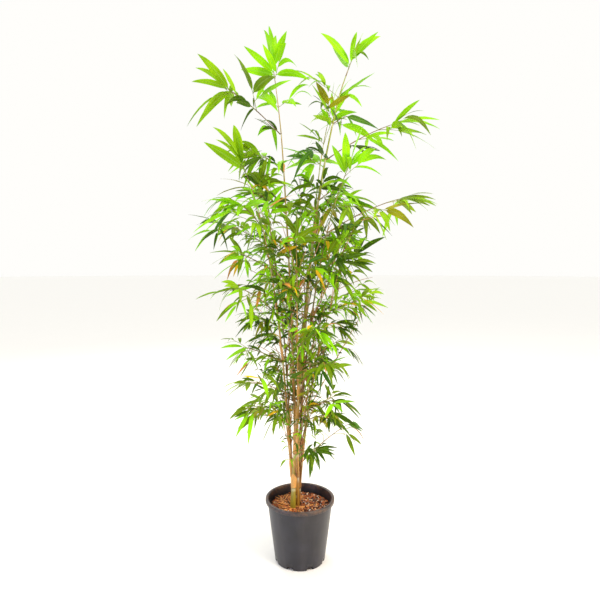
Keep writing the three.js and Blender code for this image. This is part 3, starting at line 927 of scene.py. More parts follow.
def revolved(outline, steps):
    """A bmesh turned about Z from an outline of radii and heights in millimetres."""
    bm = bmesh.new()
    verts = [bm.verts.new(Vector((r, 0, z)) * MM) for r, z in outline]
    edges = [bm.edges.new(pair) for pair in zip(verts, verts[1:])]
    bmesh.ops.spin(bm, geom=verts + edges, cent=(0, 0, 0), axis=(0, 0, 1), angle=2 * math.pi, steps=steps,
                   use_merge=True)
    bmesh.ops.remove_doubles(bm, verts=bm.verts, dist=1e-6)
    return bm


def settle(made, material, nodes=()):
    """Gives a piece its material, its body and the nodes that it stands for."""
    made.data.materials.clear()
    made.data.materials.append(material)
    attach(made, BODY)
    if nodes:
        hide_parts(*nodes)
    return made


@functools.lru_cache(maxsize=None)
def stick(sides, rings):
    """A round stick of unit radius, from 0 to 1 on Z, with evenly spaced rings of corners."""
    bm = bmesh.new()
    bmesh.ops.create_cone(bm, cap_ends=True, segments=sides, radius1=1, radius2=1, depth=1,
                          matrix=Matrix.Translation((0, 0, 0.5)))
    upright = [e for e in bm.edges if abs(e.verts[0].co.z - e.verts[1].co.z) > 0.5]
    bmesh.ops.subdivide_edges(bm, edges=upright, cuts=rings - 2, use_grid_fill=True)
    bmesh.ops.recalc_face_normals(bm, faces=bm.faces)
    return Shape(bm, lambda co: (math.atan2(co[1], co[0]) / (2 * math.pi) + 0.5, co[2]))


def ring_numbers(shape, rings):
    """The number of the ring that each corner of a stick is on."""
    return np.rint(shape.co[:, 2] * (rings - 1)).astype(int)


def bent(shape, rings, shares, path, radii, shifts=None):
    """A stick's corners, bent along a path with its radius given at each ring."""
    ring = ring_numbers(shape, rings)
    reference = reference_for(path.tangent(0.5))
    centres, rights, overs = [], [], []
    for i, share in enumerate(shares):
        along = path.tangent(min(max(share, 0.0), 1.0))
        centre = path.point(share)
        across = across_of(along, reference)
        centres.append(centre if shifts is None else centre + shifts[i])
        rights.append(across)
        overs.append(np.cross(across, along))
    centres, rights, overs = (np.array(rows)[ring] for rows in (centres, rights, overs))
    radius = np.asarray(radii)[ring, None]
    # Right, against over and along make a right-handed frame, so that faces keep pointing out.
    return centres + radius * (shape.co[:, :1] * rights - shape.co[:, 1:2] * overs)


@functools.lru_cache(maxsize=None)
def slab(columns, rows):
    """A thin closed slab: X from -1 to 1 across it, Y at the rows along it, and Z 0 or 1 for its faces."""
    steps = len(rows) - 1
    bm = bmesh.new()
    bmesh.ops.create_grid(bm, x_segments=columns, y_segments=steps, size=1)
    bmesh.ops.solidify(bm, geom=bm.faces[:], thickness=1)
    low = min(v.co.z for v in bm.verts)
    high = max(v.co.z for v in bm.verts)
    for v in bm.verts:
        v.co.x = max(-1.0, min(1.0, v.co.x))
        v.co.y = rows[round((v.co.y + 1) / 2 * steps)]
        v.co.z = (v.co.z - low) / (high - low)
    bmesh.ops.recalc_face_normals(bm, faces=bm.faces)
    return Shape(bm, lambda co: (co[0] * 0.5 + 0.5, co[1]))


# A blade: its rows along it, its stalk's share of its length, how full its shoulder and how drawn out its
# tip is, the greatest value of that curve, and the least width of its stalk and of its tip, as shares.
BLADE_ROWS = (0, 0.05, 0.1, 0.19, 0.32, 0.48, 0.64, 0.79, 0.91, 1)
STALK = 0.05
SHOULDER, DRAWN_TIP, CURVE_PEAK = 0.55, 0.95, 0.373
STALK_WIDTH, TIP_WIDTH = 0.102, 0.012
# How a blade lies: how strongly it arches, how far it twists, in radians, the depth of its ripples and the
# radians of them along it, how hollow its halves are, how thin its edges are and how its width varies.
BEND = dict(arch=0.93, twist=0.5, ripple=0.05, waves=(9, 17), hollow=0.16, edge=0.4, width=(0.92, 1.16))
# A whole turn in radians, near enough for what is strewn by chance.
WHOLE_TURN = 6.28


def blade_width(t):
    """A blade's half-width along it, as a share of its widest: a short stalk, a full shoulder, a long tip."""
    s = np.clip((t - STALK) / (1 - STALK), 0, 1)
    swell = s ** SHOULDER * (1 - s) ** DRAWN_TIP / CURVE_PEAK
    return np.maximum(swell, np.where(t < 0.5, STALK_WIDTH, TIP_WIDTH))


def blade_corners(leaves, seed, thick=0.3, fold=(0.1, 0.42)):
    """Blades as parts for a piece, each bent, folded and twisted in its own way."""
    shape = slab(2, BLADE_ROWS)
    x, t, face = shape.co.T
    arch, turned_by = BEND["arch"], BEND["twist"]
    draws = np.random.default_rng(seed).random((len(leaves), 5))
    parts = []
    for leaf, draw in zip(leaves, draws):
        length, sag, direction = leaf["length"], leaf["sag"], leaf["direction"]
        drop = sag * (arch * t - (1 + arch) * t * t)
        centre = leaf["base"] + np.outer(length * t, direction) + np.outer(length * drop, UP)
        tangent = direction + np.outer(sag * (arch - 2 * (1 + arch) * t), UP)
        tangent /= np.linalg.norm(tangent, axis=1)[:, None]
        over = np.cross(leaf["across"], direction)
        twist = either_way(turned_by, draw[0]) * t
        across = np.outer(np.cos(twist), leaf["across"]) + np.outer(np.sin(twist), over)
        normal = np.cross(across, tangent)
        normal /= np.linalg.norm(normal, axis=1)[:, None]
        half = leaf["half_width"] * within(BEND["width"], draw[1]) * blade_width(t)
        ripple = BEND["ripple"] * np.sin(t * within(BEND["waves"], draw[2]) + WHOLE_TURN * draw[3])
        lift = half * (np.abs(x) * (within(fold, draw[4]) + ripple) - BEND["hollow"] * x * x)
        depth = (face - 0.5) * thick * mix(1, BEND["edge"], np.abs(x))
        parts.append((shape, centre + across * (x * half)[:, None] + normal * (lift + depth)[:, None]))
    return parts


# The pieces


def colour_setting(name, description, code):
    """A colour that a user can change, with its default given in sRGB hex."""
    return FloatVectorProperty(name=name, description=description, subtype="COLOR", size=3, min=0, max=1,
                               default=linear(code)[:3])


class PotSettings(bpy.types.PropertyGroup):
    """The pot's sizes and colours."""

    wall: FloatProperty(name="Wall", description="Thickness of the pot's wall", default=0.0018, unit="LENGTH")
    lip: FloatProperty(name="Lip", description="Height of the rolled lip", default=0.009, unit="LENGTH")
    steps: IntProperty(name="Steps", description="Facets round the pot", default=112, min=24)
    skin: colour_setting("Plastic", "Colour of the plastic", "#201f27")
    dust: colour_setting("Dust", "Colour of the bark dust on the lip", "#5f4433")


class MixSettings(bpy.types.PropertyGroup):
    """What lies on the potting mix."""

    chips: IntProperty(name="Chips", description="Bark and wood chips on the mix", default=900, min=0)
    perlite: IntProperty(name="Perlite", description="White crumbs on the mix", default=170, min=0)
    straws: IntProperty(name="Straws", description="Dry stalks on the mix", default=64, min=0)
    litter: IntProperty(name="Fallen leaves", description="Dead leaves on the mix", default=22, min=0)
    damp_bark: colour_setting("Damp bark", "Colour of the darkest chips", "#4a2412")
    bark: colour_setting("Bark", "Colour of the red-brown chips", "#9a501e")
    wood: colour_setting("Wood", "Colour of the pale chips", "#b9885a")
    straw: colour_setting("Straw", "Colour of the dry stalks", "#c98440")


class CaneSettings(bpy.types.PropertyGroup):
    """The colours of the canes, and how many joints keep their husks."""

    foot: colour_setting("Foot", "Yellow-green of the main cane's foot", "#9c8c28")
    gold: colour_setting("Gold", "Colour of a ripe cane", "#c08a30")
    young: colour_setting("Young", "Colour of the thin upper canes", "#98a02c")
    dark: colour_setting("Dark", "Colour of a weathered cane", "#55331e")
    husk: colour_setting("Husk", "Colour of the papery sheaths", "#d69a4a")
    husk_share: FloatProperty(name="Husks", description="Share of the lower joints that keep a husk",
                              default=0.7, min=0, max=1, subtype="FACTOR")


class FoliageSettings(bpy.types.PropertyGroup):
    """The thickness and the colours of the leaves."""

    thickness: FloatProperty(name="Leaf thickness", description="Thickness of a blade", default=0.0003,
                             unit="LENGTH", precision=5)
    # The greens are dealt by height. Lime, mostly high up, is partly young growth and partly painted light.
    # Deep and blue, mostly low down, are painted shade.
    lime: colour_setting("Lime", "The youngest leaves, most of them high up", "#86c60a")
    fresh: colour_setting("Fresh", "Young leaves", "#7ca608")
    mid: colour_setting("Mid", "Full-grown leaves", "#668208")
    deep: colour_setting("Deep", "The darkest leaves, most of them low down", "#3c5a08")
    blue: colour_setting("Blue", "Shaded leaves", "#3a661c")
    olive: colour_setting("Olive", "Leaves past their best", "#858314")
    yellow: colour_setting("Yellow", "Turning leaves", "#deae18")
    dry: colour_setting("Dry", "Dead leaves", "#c4803a")


class StageSettings(bpy.types.PropertyGroup):
    """Camera, floor and light."""

    distance: FloatProperty(name="Distance", description="Camera to the middle of the pot", default=1.2,
                            unit="LENGTH")
    height: FloatProperty(name="Height", description="Camera above the floor", default=0.702, unit="LENGTH")
    pitch: FloatProperty(name="Pitch", description="How far the camera looks down", default=math.radians(3.4),
                         subtype="ANGLE")
    focal_px: FloatProperty(name="Focal length", description="In pixels of the picture's width", default=512)
    sky: colour_setting("Surround", "Colour of the soft surrounding light", "#fffefb")
    surround: FloatProperty(name="Surround strength", description="Strength of the surrounding light",
                            default=1.0, min=0)
    power: FloatProperty(name="Lamp power", description="A factor on the power of every lamp", default=1.0,
                         min=0)
    floor: colour_setting("Floor", "Colour of the floor", "#fcfbf8")


# The pot's foot, its wall under the lip and its floor, the rise, edge and slope of its hollow underside,
# the radii of its rounds at the foot, neck, hem, lip, mouth and floor, and where its wall starts and ends.
POT_FOOT_RADIUS = 60
POT_BODY_RADIUS = 77.5
POT_FLOOR = 2.4
UNDER_RISE, UNDER_EDGE, UNDER_SLOPE = 0.6, 7, 2
POT_ROUNDS = (2.2, 0.8, 1.2, 1.8, 2.4, 2)
WALL_START, WALL_END = 3, 0.6
# The drain notches' number, their width and height, and the radius of their corners.
NOTCHES = 8
NOTCH_SIZE = (15, 7)
NOTCH_ROUND = 2
# The heights between which bark dust grows thicker towards the lip.
LIP_DUST = (POT_HEIGHT - 13, POT_HEIGHT - 3)


class BAMBOO_OT_pot(bpy.types.Operator):
    """Turns the nursery pot, with its rolled lip and the drain notches round its foot"""

    bl_idname = "bamboo.pot"
    bl_label = "Pot"

    def execute(self, context):
        settings = context.scene.bamboo_pot
        bm = revolved(self.outline(settings.wall / MM, settings.lip / MM), settings.steps)
        bmesh.ops.recalc_face_normals(bm, faces=bm.faces)
        pot = from_bmesh("nursery_pot", bm, 32)
        self.cut_notches(pot)
        settle(pot, pot_material(settings.skin, settings.dust), ["pot"])
        return {"FINISHED"}

    @staticmethod
    def outline(wall, lip):
        """The pot's section, from the middle of its underside, round its lip, to its inner floor."""
        top, rim, body, foot = POT_HEIGHT, POT_RADIUS, POT_BODY_RADIUS, POT_FOOT_RADIUS
        low, neck, hem, edge, mouth, fillet = POT_ROUNDS

        def arc(r, z, radius, first, last, steps=5):
            angles = [math.radians(mix(first, last, i / steps)) for i in range(steps + 1)]
            return [(r + radius * math.cos(a), z + radius * math.sin(a)) for a in angles]

        def wall_line(low, high, steps):
            return [(mix(low[0], high[0], k / steps), mix(low[1], high[1], k / steps))
                    for k in range(1, steps + 1)]

        skirt = top - lip
        inner = body - wall
        floor_edge = foot - wall
        ring = foot - UNDER_EDGE
        points = [(0, UNDER_RISE), (ring - UNDER_SLOPE, UNDER_RISE), (ring, 0)]
        points += arc(foot - low, low, low, -90, -8)
        points += wall_line((foot, WALL_START), (body, skirt - WALL_END), 9)
        points += arc(body + neck, skirt, neck, 180, 100, 3)
        points += arc(rim - hem, skirt + 2 * neck, hem, -80, 0, 3)
        points += arc(rim - edge, top - edge, edge, 0, 90)
        points += arc(inner + mouth, top - mouth, mouth, 90, 180)
        points += wall_line((inner, top - mouth), (floor_edge, POT_FLOOR + fillet), 6)
        return points + [(floor_edge - fillet, POT_FLOOR), (0, POT_FLOOR)]

    @staticmethod
    def cut_notches(pot):
        """Cuts the drain notches with one boolean."""
        bm = bmesh.new()
        width, height = NOTCH_SIZE
        for k in range(NOTCHES):
            turn = Matrix.Rotation(2 * math.pi * (k + 0.5) / NOTCHES, 4, "Z")
            place = Matrix.Translation(Vector((POT_FOOT_RADIUS, 0, 0)) * MM)
            size = Matrix.Diagonal((width * MM, width * MM, 2 * height * MM, 1))
            bmesh.ops.create_cube(bm, size=1, matrix=turn @ place @ size)
        top_edges = [e for e in bm.edges if all(v.co.z > 0 for v in e.verts)]
        bmesh.ops.bevel(bm, geom=top_edges, offset=NOTCH_ROUND * MM, affect="EDGES", segments=3, profile=0.5,
                        material=-1)
        cutter = from_bmesh("notch_cutter", bm)
        cut = pot.modifiers.new("notches", "BOOLEAN")
        cut.object = cutter
        cut.solver = "EXACT"
        bpy.context.view_layer.update()
        whole = bpy.data.meshes.new_from_object(pot.evaluated_get(bpy.context.evaluated_depsgraph_get()))
        pot.modifiers.clear()
        pot.data = whole
        bpy.data.objects.remove(cutter)


# The mix's surface: a low mound at the left of the clump, on a level a little below the canes' feet that
# drops towards the rim, with two sizes of crumb, each with its depth, its width and its place in the noise.
MOUND = dict(x=-30, y=-12, height=5.5, spread=34)
SOIL_RIM = 75
SOIL_LEVEL = SOIL_TOP - 3.2
SOIL_DROP, DROP_START, DROP_POWER = 6, 0.75, 1.5
CRUMBS = ((2.0, 17, 0), (1.1, 6, 9))
# How far the mix stands in from the pot's outer wall, and the heights of the plug's sides.
MIX_INSET = 2.2
PLUG_HEIGHTS = (60, 5)
# How far what lies on the mix keeps from the wall and from the canes' feet.
WALL_ROOM, FOOT_ROOM = 4, 3
# A chip starts as a block: its bevel, how far its corners are knocked about and how much it tapers.
CHIP = dict(kinds=6, bevel=0.16, knock=0.11, taper=0.35)
# Each kind of chip, with its share of them all and the setting that holds its colour.
CHIP_KINDS = (
    ("bark_chips_dark", 0.36, "damp_bark"),
    ("bark_chips_red", 0.48, "bark"),
    ("wood_chips_pale", 0.16, "wood"),
)
# The ranges of length, width and thickness.
CHIP_SIZES = ((3.5, 10.5), (2.2, 5.5), (1.3, 3.2))
PERLITE_SIZES = ((2, 5), (2, 4.6), (1.8, 3.6))
STRAW_SIZES = ((20, 56), (1.2, 2.6), (0.9, 1.8))
# Fallen leaves: their length, how far they keep from the wall, how high they lie, and their shape.
LITTER = dict(length=(26, 52), room=6, height=2.6, sag=0.02, half_width=0.085, fold=(-0.3, 0.3))
# The seeds of what is scattered: the first for the chips' shapes and for the chips, the perlite's shape,
# the perlite, the straws, the fallen leaves and the way that these are bent.
SCATTER_SEEDS = dict(chip_shape=400, chips=50, crumb=61, perlite=62, straws=71, litter=81, litter_bend=82)


def soil_height(x, y):
    """The height of the potting mix: a low mound at the canes, a sunken edge, and crumbs."""
    out = math.hypot(x, y) / SOIL_RIM
    away = (x - MOUND["x"]) ** 2 + (y - MOUND["y"]) ** 2
    mound = MOUND["height"] * math.exp(-away / MOUND["spread"] ** 2)
    crumbs = sum(depth * noise.noise(Vector((x, y, z)) / width) for depth, width, z in CRUMBS)
    return SOIL_LEVEL + mound + crumbs - SOIL_DROP * max(0.0, out - DROP_START) ** DROP_POWER


def pot_inside(z):
    """The radius of the mix at a height."""
    share = (z - POT_FLOOR) / (POT_HEIGHT - POT_FLOOR)
    return mix(POT_FOOT_RADIUS, POT_BODY_RADIUS, share) - MIX_INSET


class BAMBOO_OT_potting_mix(bpy.types.Operator):
    """Fills the pot with bark mix, and scatters chips, perlite, straws and dead leaves on it"""

    bl_idname = "bamboo.potting_mix"
    bl_label = "Potting Mix"

    def execute(self, context):
        settings = context.scene.bamboo_mix
        self.fill()
        self.scatter_chips(settings)
        self.scatter_perlite(settings)
        self.scatter_straws(settings)
        self.scatter_litter(settings)
        return {"FINISHED"}

    @staticmethod
    def fill():
        """The mix itself: a turned plug whose top is raised into crumbs."""
        rings, steps = 30, 110
        rim = pot_inside(SOIL_TOP)
        outline = [(rim * k / rings, SOIL_TOP) for k in range(rings + 1)]
        outline += [(pot_inside(z), z) for z in PLUG_HEIGHTS] + [(0, PLUG_HEIGHTS[-1])]
        bm = revolved(outline, steps)
        for v in bm.verts:
            if v.co.z > (SOIL_TOP - 1) * MM:
                v.co.z = soil_height(v.co.x / MM, v.co.y / MM) * MM
        bmesh.ops.recalc_face_normals(bm, faces=bm.faces)
        settle(from_bmesh("potting_mix", bm, 60), mix_material(), ["soil"])

    @staticmethod
    def chip_shapes():
        """A few broken chips: flattened blocks with their corners knocked about."""
        shapes = []
        for seed in range(CHIP["kinds"]):
            draws = np.random.default_rng(SCATTER_SEEDS["chip_shape"] + seed)
            bm = bmesh.new()
            bmesh.ops.create_cube(bm, size=1)
            bmesh.ops.bevel(bm, geom=bm.edges[:], offset=CHIP["bevel"], affect="EDGES", segments=1,
                            profile=0.5, material=-1)
            for v in bm.verts:
                v.co += Vector(draws.uniform(-CHIP["knock"], CHIP["knock"], 3))
                v.co.x *= 1 - CHIP["taper"] * v.co.y
            shapes.append(Shape(bm))
        return shapes

    @staticmethod
    def spot(draws, most=0.97):
        """A place on the mix, clear of the canes' feet."""
        while True:
            angle = draws.uniform(0, 2 * math.pi)
            out = math.sqrt(draws.uniform(0, 1)) * most * (pot_inside(SOIL_TOP) - WALL_ROOM)
            x, y = out * math.cos(angle), out * math.sin(angle)
            feet = ((cane.points[0][:2], cane.radii[0]) for cane in plant().canes)
            if all(math.dist((x, y), foot) > radius + FOOT_ROOM for foot, radius in feet):
                return x, y

    def right_side(self, draws):
        """A place on the mix, more often on its right."""
        x, y = self.spot(draws)
        return (x, y) if x > 0 or draws.uniform() < 0.3 else self.spot(draws)

    def left_side(self, draws):
        """A place on the mix, nearly always on its left."""
        for _ in range(6):
            x, y = self.spot(draws, 0.74)
            if x < -4:
                break
        return x, y

    def scatter(self, shapes, count, seed, sizes, lie=0.35, sunk=0.25, place=None):
        """Many small pieces lying on the mix: sizes give the ranges of length, width and thickness."""
        draws = np.random.default_rng(seed)
        parts = []
        for k in range(count):
            x, y = (place or self.spot)(draws)
            size = [draws.uniform(*span) for span in sizes]
            turn = Matrix.Rotation(draws.uniform(0, WHOLE_TURN), 3, "Z")
            roll, pitch = (Matrix.Rotation(draws.normal(0, lie), 3, axis) for axis in "XY")
            shape = shapes[k % len(shapes)]
            corners = shape.co * size @ np.array(turn @ (roll @ pitch)).T
            lift = soil_height(x, y) - corners[:, 2].min() * (1 - 2 * sunk)
            parts.append((shape, corners + (x, y, lift)))
        return parts

    def scatter_chips(self, settings):
        shapes = self.chip_shapes()
        for number, (name, share, colour) in enumerate(CHIP_KINDS):
            seed = SCATTER_SEEDS["chips"] + number
            parts = self.scatter(shapes, round(settings.chips * share), seed, CHIP_SIZES)
            settle(piece(name, parts), chip_material(name + "_fibre", getattr(settings, colour)))

    def scatter_perlite(self, settings):
        bm = bmesh.new()
        bmesh.ops.create_icosphere(bm, subdivisions=1, radius=0.5)
        draws = np.random.default_rng(SCATTER_SEEDS["crumb"])
        for v in bm.verts:
            v.co *= draws.uniform(0.75, 1.15)
        parts = self.scatter([Shape(bm)], settings.perlite, SCATTER_SEEDS["perlite"], PERLITE_SIZES, sunk=0.1,
                             place=self.right_side)
        settle(piece("perlite_crumbs", parts), perlite_material())

    def scatter_straws(self, settings):
        upright = stick(6, 4)
        # Laid along X, about its middle, with a diameter of one.
        lying = upright.reshaped((upright.co - (0, 0, 0.5))[:, [2, 0, 1]] * (1, 0.5, 0.5))
        parts = self.scatter([lying], settings.straws, SCATTER_SEEDS["straws"], STRAW_SIZES, lie=0.08,
                             sunk=0.0, place=self.left_side)
        settle(piece("straws", parts), chip_material("dry_straw", settings.straw))

    def scatter_litter(self, settings):
        draws = np.random.default_rng(SCATTER_SEEDS["litter"])
        most = pot_inside(SOIL_TOP) - LITTER["room"]
        leaves = []
        for _ in range(settings.litter):
            x, y = self.left_side(draws)
            direction = level(draws.uniform(0, 360))
            length = draws.uniform(*LITTER["length"])
            base = np.array([x, y, soil_height(x, y) + LITTER["height"]])
            # A leaf that would reach the wall lies the other way, or is left out.
            if math.hypot(*(base + direction * length)[:2]) > most:
                direction = -direction
            tip = base + direction * length
            if math.hypot(*tip[:2]) > most:
                continue
            rise = (soil_height(tip[0], tip[1]) + LITTER["height"] - base[2]) / length
            direction = unit(direction + UP * rise)
            leaves.append(dict(base=base, direction=direction, across=across_of(direction, UP), length=length,
                               sag=LITTER["sag"], half_width=length * LITTER["half_width"]))
        parts = blade_corners(leaves, SCATTER_SEEDS["litter_bend"], fold=LITTER["fold"])
        settle(piece("fallen_leaves", parts), chip_material("dead_leaf", settings.straw))


CANE_TONE_OF = dict(main="green", tall="golden", right_front="brown", left_front="golden", right_back="olive",
                    left_back="brown", front="golden", right_low="olive")
CANE_SIDES = 16
# Where a joint's rings of corners are, in millimetres above it, and how many parts the cane between two
# joints has.
JOINT_RINGS = (-5, -2.6, -1.1, -0.5, 0, 0.5, 1.4, 2.6, 4, 6)
PARTS_BETWEEN = 5
# A joint's humps, each with its size, its height above the joint and its spread: in the cane's radius, as
# shares of it, and in the attributes that colour the ring and the bloom. Away from them it is thinner.
SCAR, SWELLING = (0.13, 0, 0.7), (0.1, 2.4, 1.7)
DARK_RING, BLOOM = (0.85, 0, 0.9), (0.5, -4, 3.2)
PLAIN_RADIUS = 0.96
# How far a joint stands off the cane's line, and how deep the cane's foot goes into the mix.
KINK = 0.7
FOOT_DEPTH = 7


def culm_tones(settings):
    """The colours of each kind of cane at its foot, in its middle and at its top."""
    foot, gold, young, dark = settings.foot, settings.gold, settings.young, settings.dark
    return {
        "green": (foot, gold, young),
        "golden": (toned(gold, 0.8), gold, toned(gold, 0.9, young, 0.4)),
        "olive": (toned(dark, 1.0, gold, 0.35), toned(young, 0.7, gold, 0.3), young),
        "brown": (dark, toned(dark, 1.0, gold, 0.3), toned(young, 0.65)),
    }


def hump(at, size, place, spread):
    return size * math.exp(-((at - place) / spread) ** 2)


class BAMBOO_OT_canes(bpy.types.Operator):
    """Grows the canes, with their swollen joints, rings and slight zigzag"""

    bl_idname = "bamboo.canes"
    bl_label = "Canes"

    def execute(self, context):
        tones = culm_tones(context.scene.bamboo_canes)
        materials = {tone: culm_material(f"bamboo_culm_{tone}", *colours) for tone, colours in tones.items()}
        for cane in plant().canes:
            settle(self.grow(cane), materials[CANE_TONE_OF[cane.name]], [f"cane_{cane.name}"])
        return {"FINISHED"}

    @staticmethod
    def grow(cane):
        """One cane, with extra rings of corners where its joints swell."""
        joints = plant().joint_shares(cane)
        marks = [0.0] + joints + [1.0]
        shares = {0.0, 1.0}
        for joint in joints:
            shares |= {joint + step / cane.length for step in JOINT_RINGS}
        for low, high in zip(marks, marks[1:]):
            shares |= {mix(low, high, k / PARTS_BETWEEN) for k in range(1, PARTS_BETWEEN)}
        shares = sorted(s for s in shares if 0 <= s <= 1)
        draw = seeded(SEEDS["kink"] + cane.number)
        kinks = [np.array([either_way(KINK, draw()), either_way(KINK, draw()), 0]) for _ in joints]
        kinks = np.array([np.zeros(3)] + kinks + [np.zeros(3)])
        radii, rings, blooms = [], [], []
        for share in shares:
            near = min(((share - joint) * cane.length for joint in joints), key=abs)
            radii.append(cane.radius_at(share) * (PLAIN_RADIUS + hump(near, *SCAR) + hump(near, *SWELLING)))
            rings.append(hump(near, *DARK_RING))
            blooms.append(hump(near, *BLOOM))
        shifts = np.array([np.interp(shares, marks, column) for column in kinks.T]).T
        shape = stick(CANE_SIDES, len(shares))
        corners = bent(shape, len(shares), shares, cane.path, radii, shifts)
        corners[shape.co[:, 2] < 1e-6, 2] = SOIL_TOP - FOOT_DEPTH
        ring = ring_numbers(shape, len(shares))
        attributes = {"joint_ring": np.array(rings)[ring], "joint_bloom": np.array(blooms)[ring]}
        return piece(f"culm_{cane.name}", [(shape, corners)], attributes)


# A sheath: how far up a cane they go, its length and how that shrinks up the cane, and how far it gapes.
# Its point is how much shorter it is at its edges, and how sharply. It goes round the cane by an angle to
# either side of its middle, less towards its top. Its radius starts close to the cane's and opens.
HUSK_GRID = (12, 7)
HUSK = dict(
    highest=0.75, length=(26, 58), shrink=(1.1, 0.6), gape=(0.1, 1.1), point=0.42, point_power=1.5,
    around=118, narrowing=0.3, close=1.14, widening=0.03, opening=2.6, opening_power=2.2, thickness=0.22,
)
# The direction of a cane at a sheath is taken a little above the joint, as a share of the cane's length.
HUSK_AHEAD = 0.02


class BAMBOO_OT_sheaths(bpy.types.Operator):
    """Wraps some of the joints in dry papery sheaths"""

    bl_idname = "bamboo.sheaths"
    bl_label = "Culm Sheaths"

    def execute(self, context):
        settings = context.scene.bamboo_canes
        columns, rows = HUSK_GRID
        shape = slab(columns, tuple(k / rows for k in range(rows + 1)))
        parts = []
        for cane in plant().canes:
            draw = seeded(SEEDS["husk"] + cane.number)
            for joint in plant().joint_shares(cane):
                keep = draw() < settings.husk_share and joint < HUSK["highest"]
                length = within(HUSK["length"], draw()) * within(HUSK["shrink"], joint)
                turn, gape = 360 * draw(), within(HUSK["gape"], draw())
                if keep:
                    parts.append((shape, self.wrap(shape, cane, joint, length, turn, gape)))
        settle(piece("culm_sheaths", parts), sheath_material(settings.husk))
        return {"FINISHED"}

    @staticmethod
    def wrap(shape, cane, joint, length, turn, gape):
        """A husk wrapped round a cane above one of its joints, gaping a little at its pointed top."""
        x, y, face = shape.co.T
        height = y * length * (1 - HUSK["point"] * np.abs(x) ** HUSK["point_power"])
        shares = np.clip(joint + height / cane.length, 0, 1)
        centres = np.array([cane.path.point(s) for s in shares])
        along = cane.path.tangent(min(joint + HUSK_AHEAD, 1))
        across = across_of(along, reference_for(along))
        over = np.cross(along, across)
        angle = math.radians(turn) + x * math.radians(HUSK["around"]) * (1 - HUSK["narrowing"] * y)
        radius = cane.radius_at(joint) * (HUSK["close"] + HUSK["widening"] * y)
        radius += gape * HUSK["opening"] * y ** HUSK["opening_power"] + HUSK["thickness"] * face
        return centres + radius[:, None] * (np.cos(angle)[:, None] * across + np.sin(angle)[:, None] * over)


# The sides and the rings of corners of a branch, a side shoot and a twig.
BRANCH_MESH, SHOOT_MESH, TWIG_MESH = (8, 9), (6, 9), (6, 6)
# A branch's last radius and its root's depth in what carries it, how much it swells at its knots and how
# many rings apart they are, and how much it narrows at its tip. One at a cane's tip covers that tip.
REED = dict(depth=1.6, knot=1.22, every=3, tip=0.6, cover=1.02)


class BAMBOO_OT_twigs(bpy.types.Operator):
    """Grows the branches and twigs that carry the leaves"""

    bl_idname = "bamboo.twigs"
    bl_label = "Branches and Twigs"

    def execute(self, context):
        branches = []
        grown = {TWIG_RADII: [], FINE_RADII: [], SHOOT_RADII: []}
        for spray in plant().sprays:
            tip_radii = (spray["cane"].radius_at(1) * REED["cover"], TWIG_RADII[1])
            radii = tip_radii if spray["at_tip"] else BRANCH_RADII
            branches.append(self.reed(spray["path"], spray["length"], radii, BRANCH_MESH))
            for twig in spray["twigs"]:
                mesh = SHOOT_MESH if twig["radii"] is SHOOT_RADII else TWIG_MESH
                grown[twig["radii"]].append(self.reed(twig["path"], twig["length"], twig["radii"], mesh))
        bare = [self.reed(path, length, TWIG_RADII, TWIG_MESH) for path, length in plant().bare_twigs]
        nodes = [spray["name"] for spray in plant().sprays]
        bark = twig_material("branch_skin", "#553522", "#8a7230")
        young = twig_material("twig_skin", "#76762a", "#98a03c")
        dry = twig_material("dry_twig_skin", "#7c4a26", "#c8985a")
        settle(piece("branches", branches), bark, nodes)
        settle(piece("twigs", grown[TWIG_RADII]), young, nodes)
        settle(piece("fine_twigs", grown[FINE_RADII]), young, nodes)
        settle(piece("side_shoots", grown[SHOOT_RADII]), dry)
        settle(piece("bare_twigs", bare), dry)
        return {"FINISHED"}

    @staticmethod
    def reed(path, length, radii, mesh):
        """A thin branch with a swelling at its knots, rooted in what carries it."""
        sides, rings = mesh
        shares = [-REED["depth"] / length] + [k / (rings - 1) for k in range(1, rings)]
        sizes = [mix(*radii, max(share, 0)) for share in shares]
        for k in range(0, rings, REED["every"]):
            sizes[k] *= REED["knot"]
        sizes[-1] *= REED["tip"]
        shape = stick(sides, rings)
        return shape, bent(shape, rings, shares, path, sizes)


# The shares of each green among the fans of leaves, low down and at the top of the plant, and the share
# that is old, with the power by which the top's greens hold off to near the top. The greens are partly
# painted light and shade: the deep and blue greens dealt low down are painted shade inside the clump, and
# the lime greens dealt high up are partly young growth and partly painted light on the top.
LOW_MIX = dict(lime=0.03, fresh=0.12, blue=0.08, deep=0.4, olive=0.07, mid=0.3)
HIGH_MIX = dict(lime=0.6, fresh=0.3, blue=0.0, deep=0.0, olive=0.0, mid=0.1)
OLD_TONES = ("yellow", "dry")
OLD_SHARE = (0.07, 0.0)
RISE_POWER = 1.25
BLADE_SEED = 900


def tone_of(leaf, draw):
    """The colour of a fan of leaves: brightest high up and deepest low down, partly as painted light at the
    top and painted shade low down.
    """
    rise = (leaf["tip"][2] - SOIL_TOP) / (REACH["top"] - SOIL_TOP)
    height = min(max(rise, 0.0), 1.0) ** RISE_POWER
    shares = {tone: mix(LOW_MIX[tone], HIGH_MIX[tone], height) for tone in LOW_MIX}
    pick = draw() * sum(shares.values())
    for tone, share in shares.items():
        pick -= share
        if pick < 0:
            return tone
    return tone


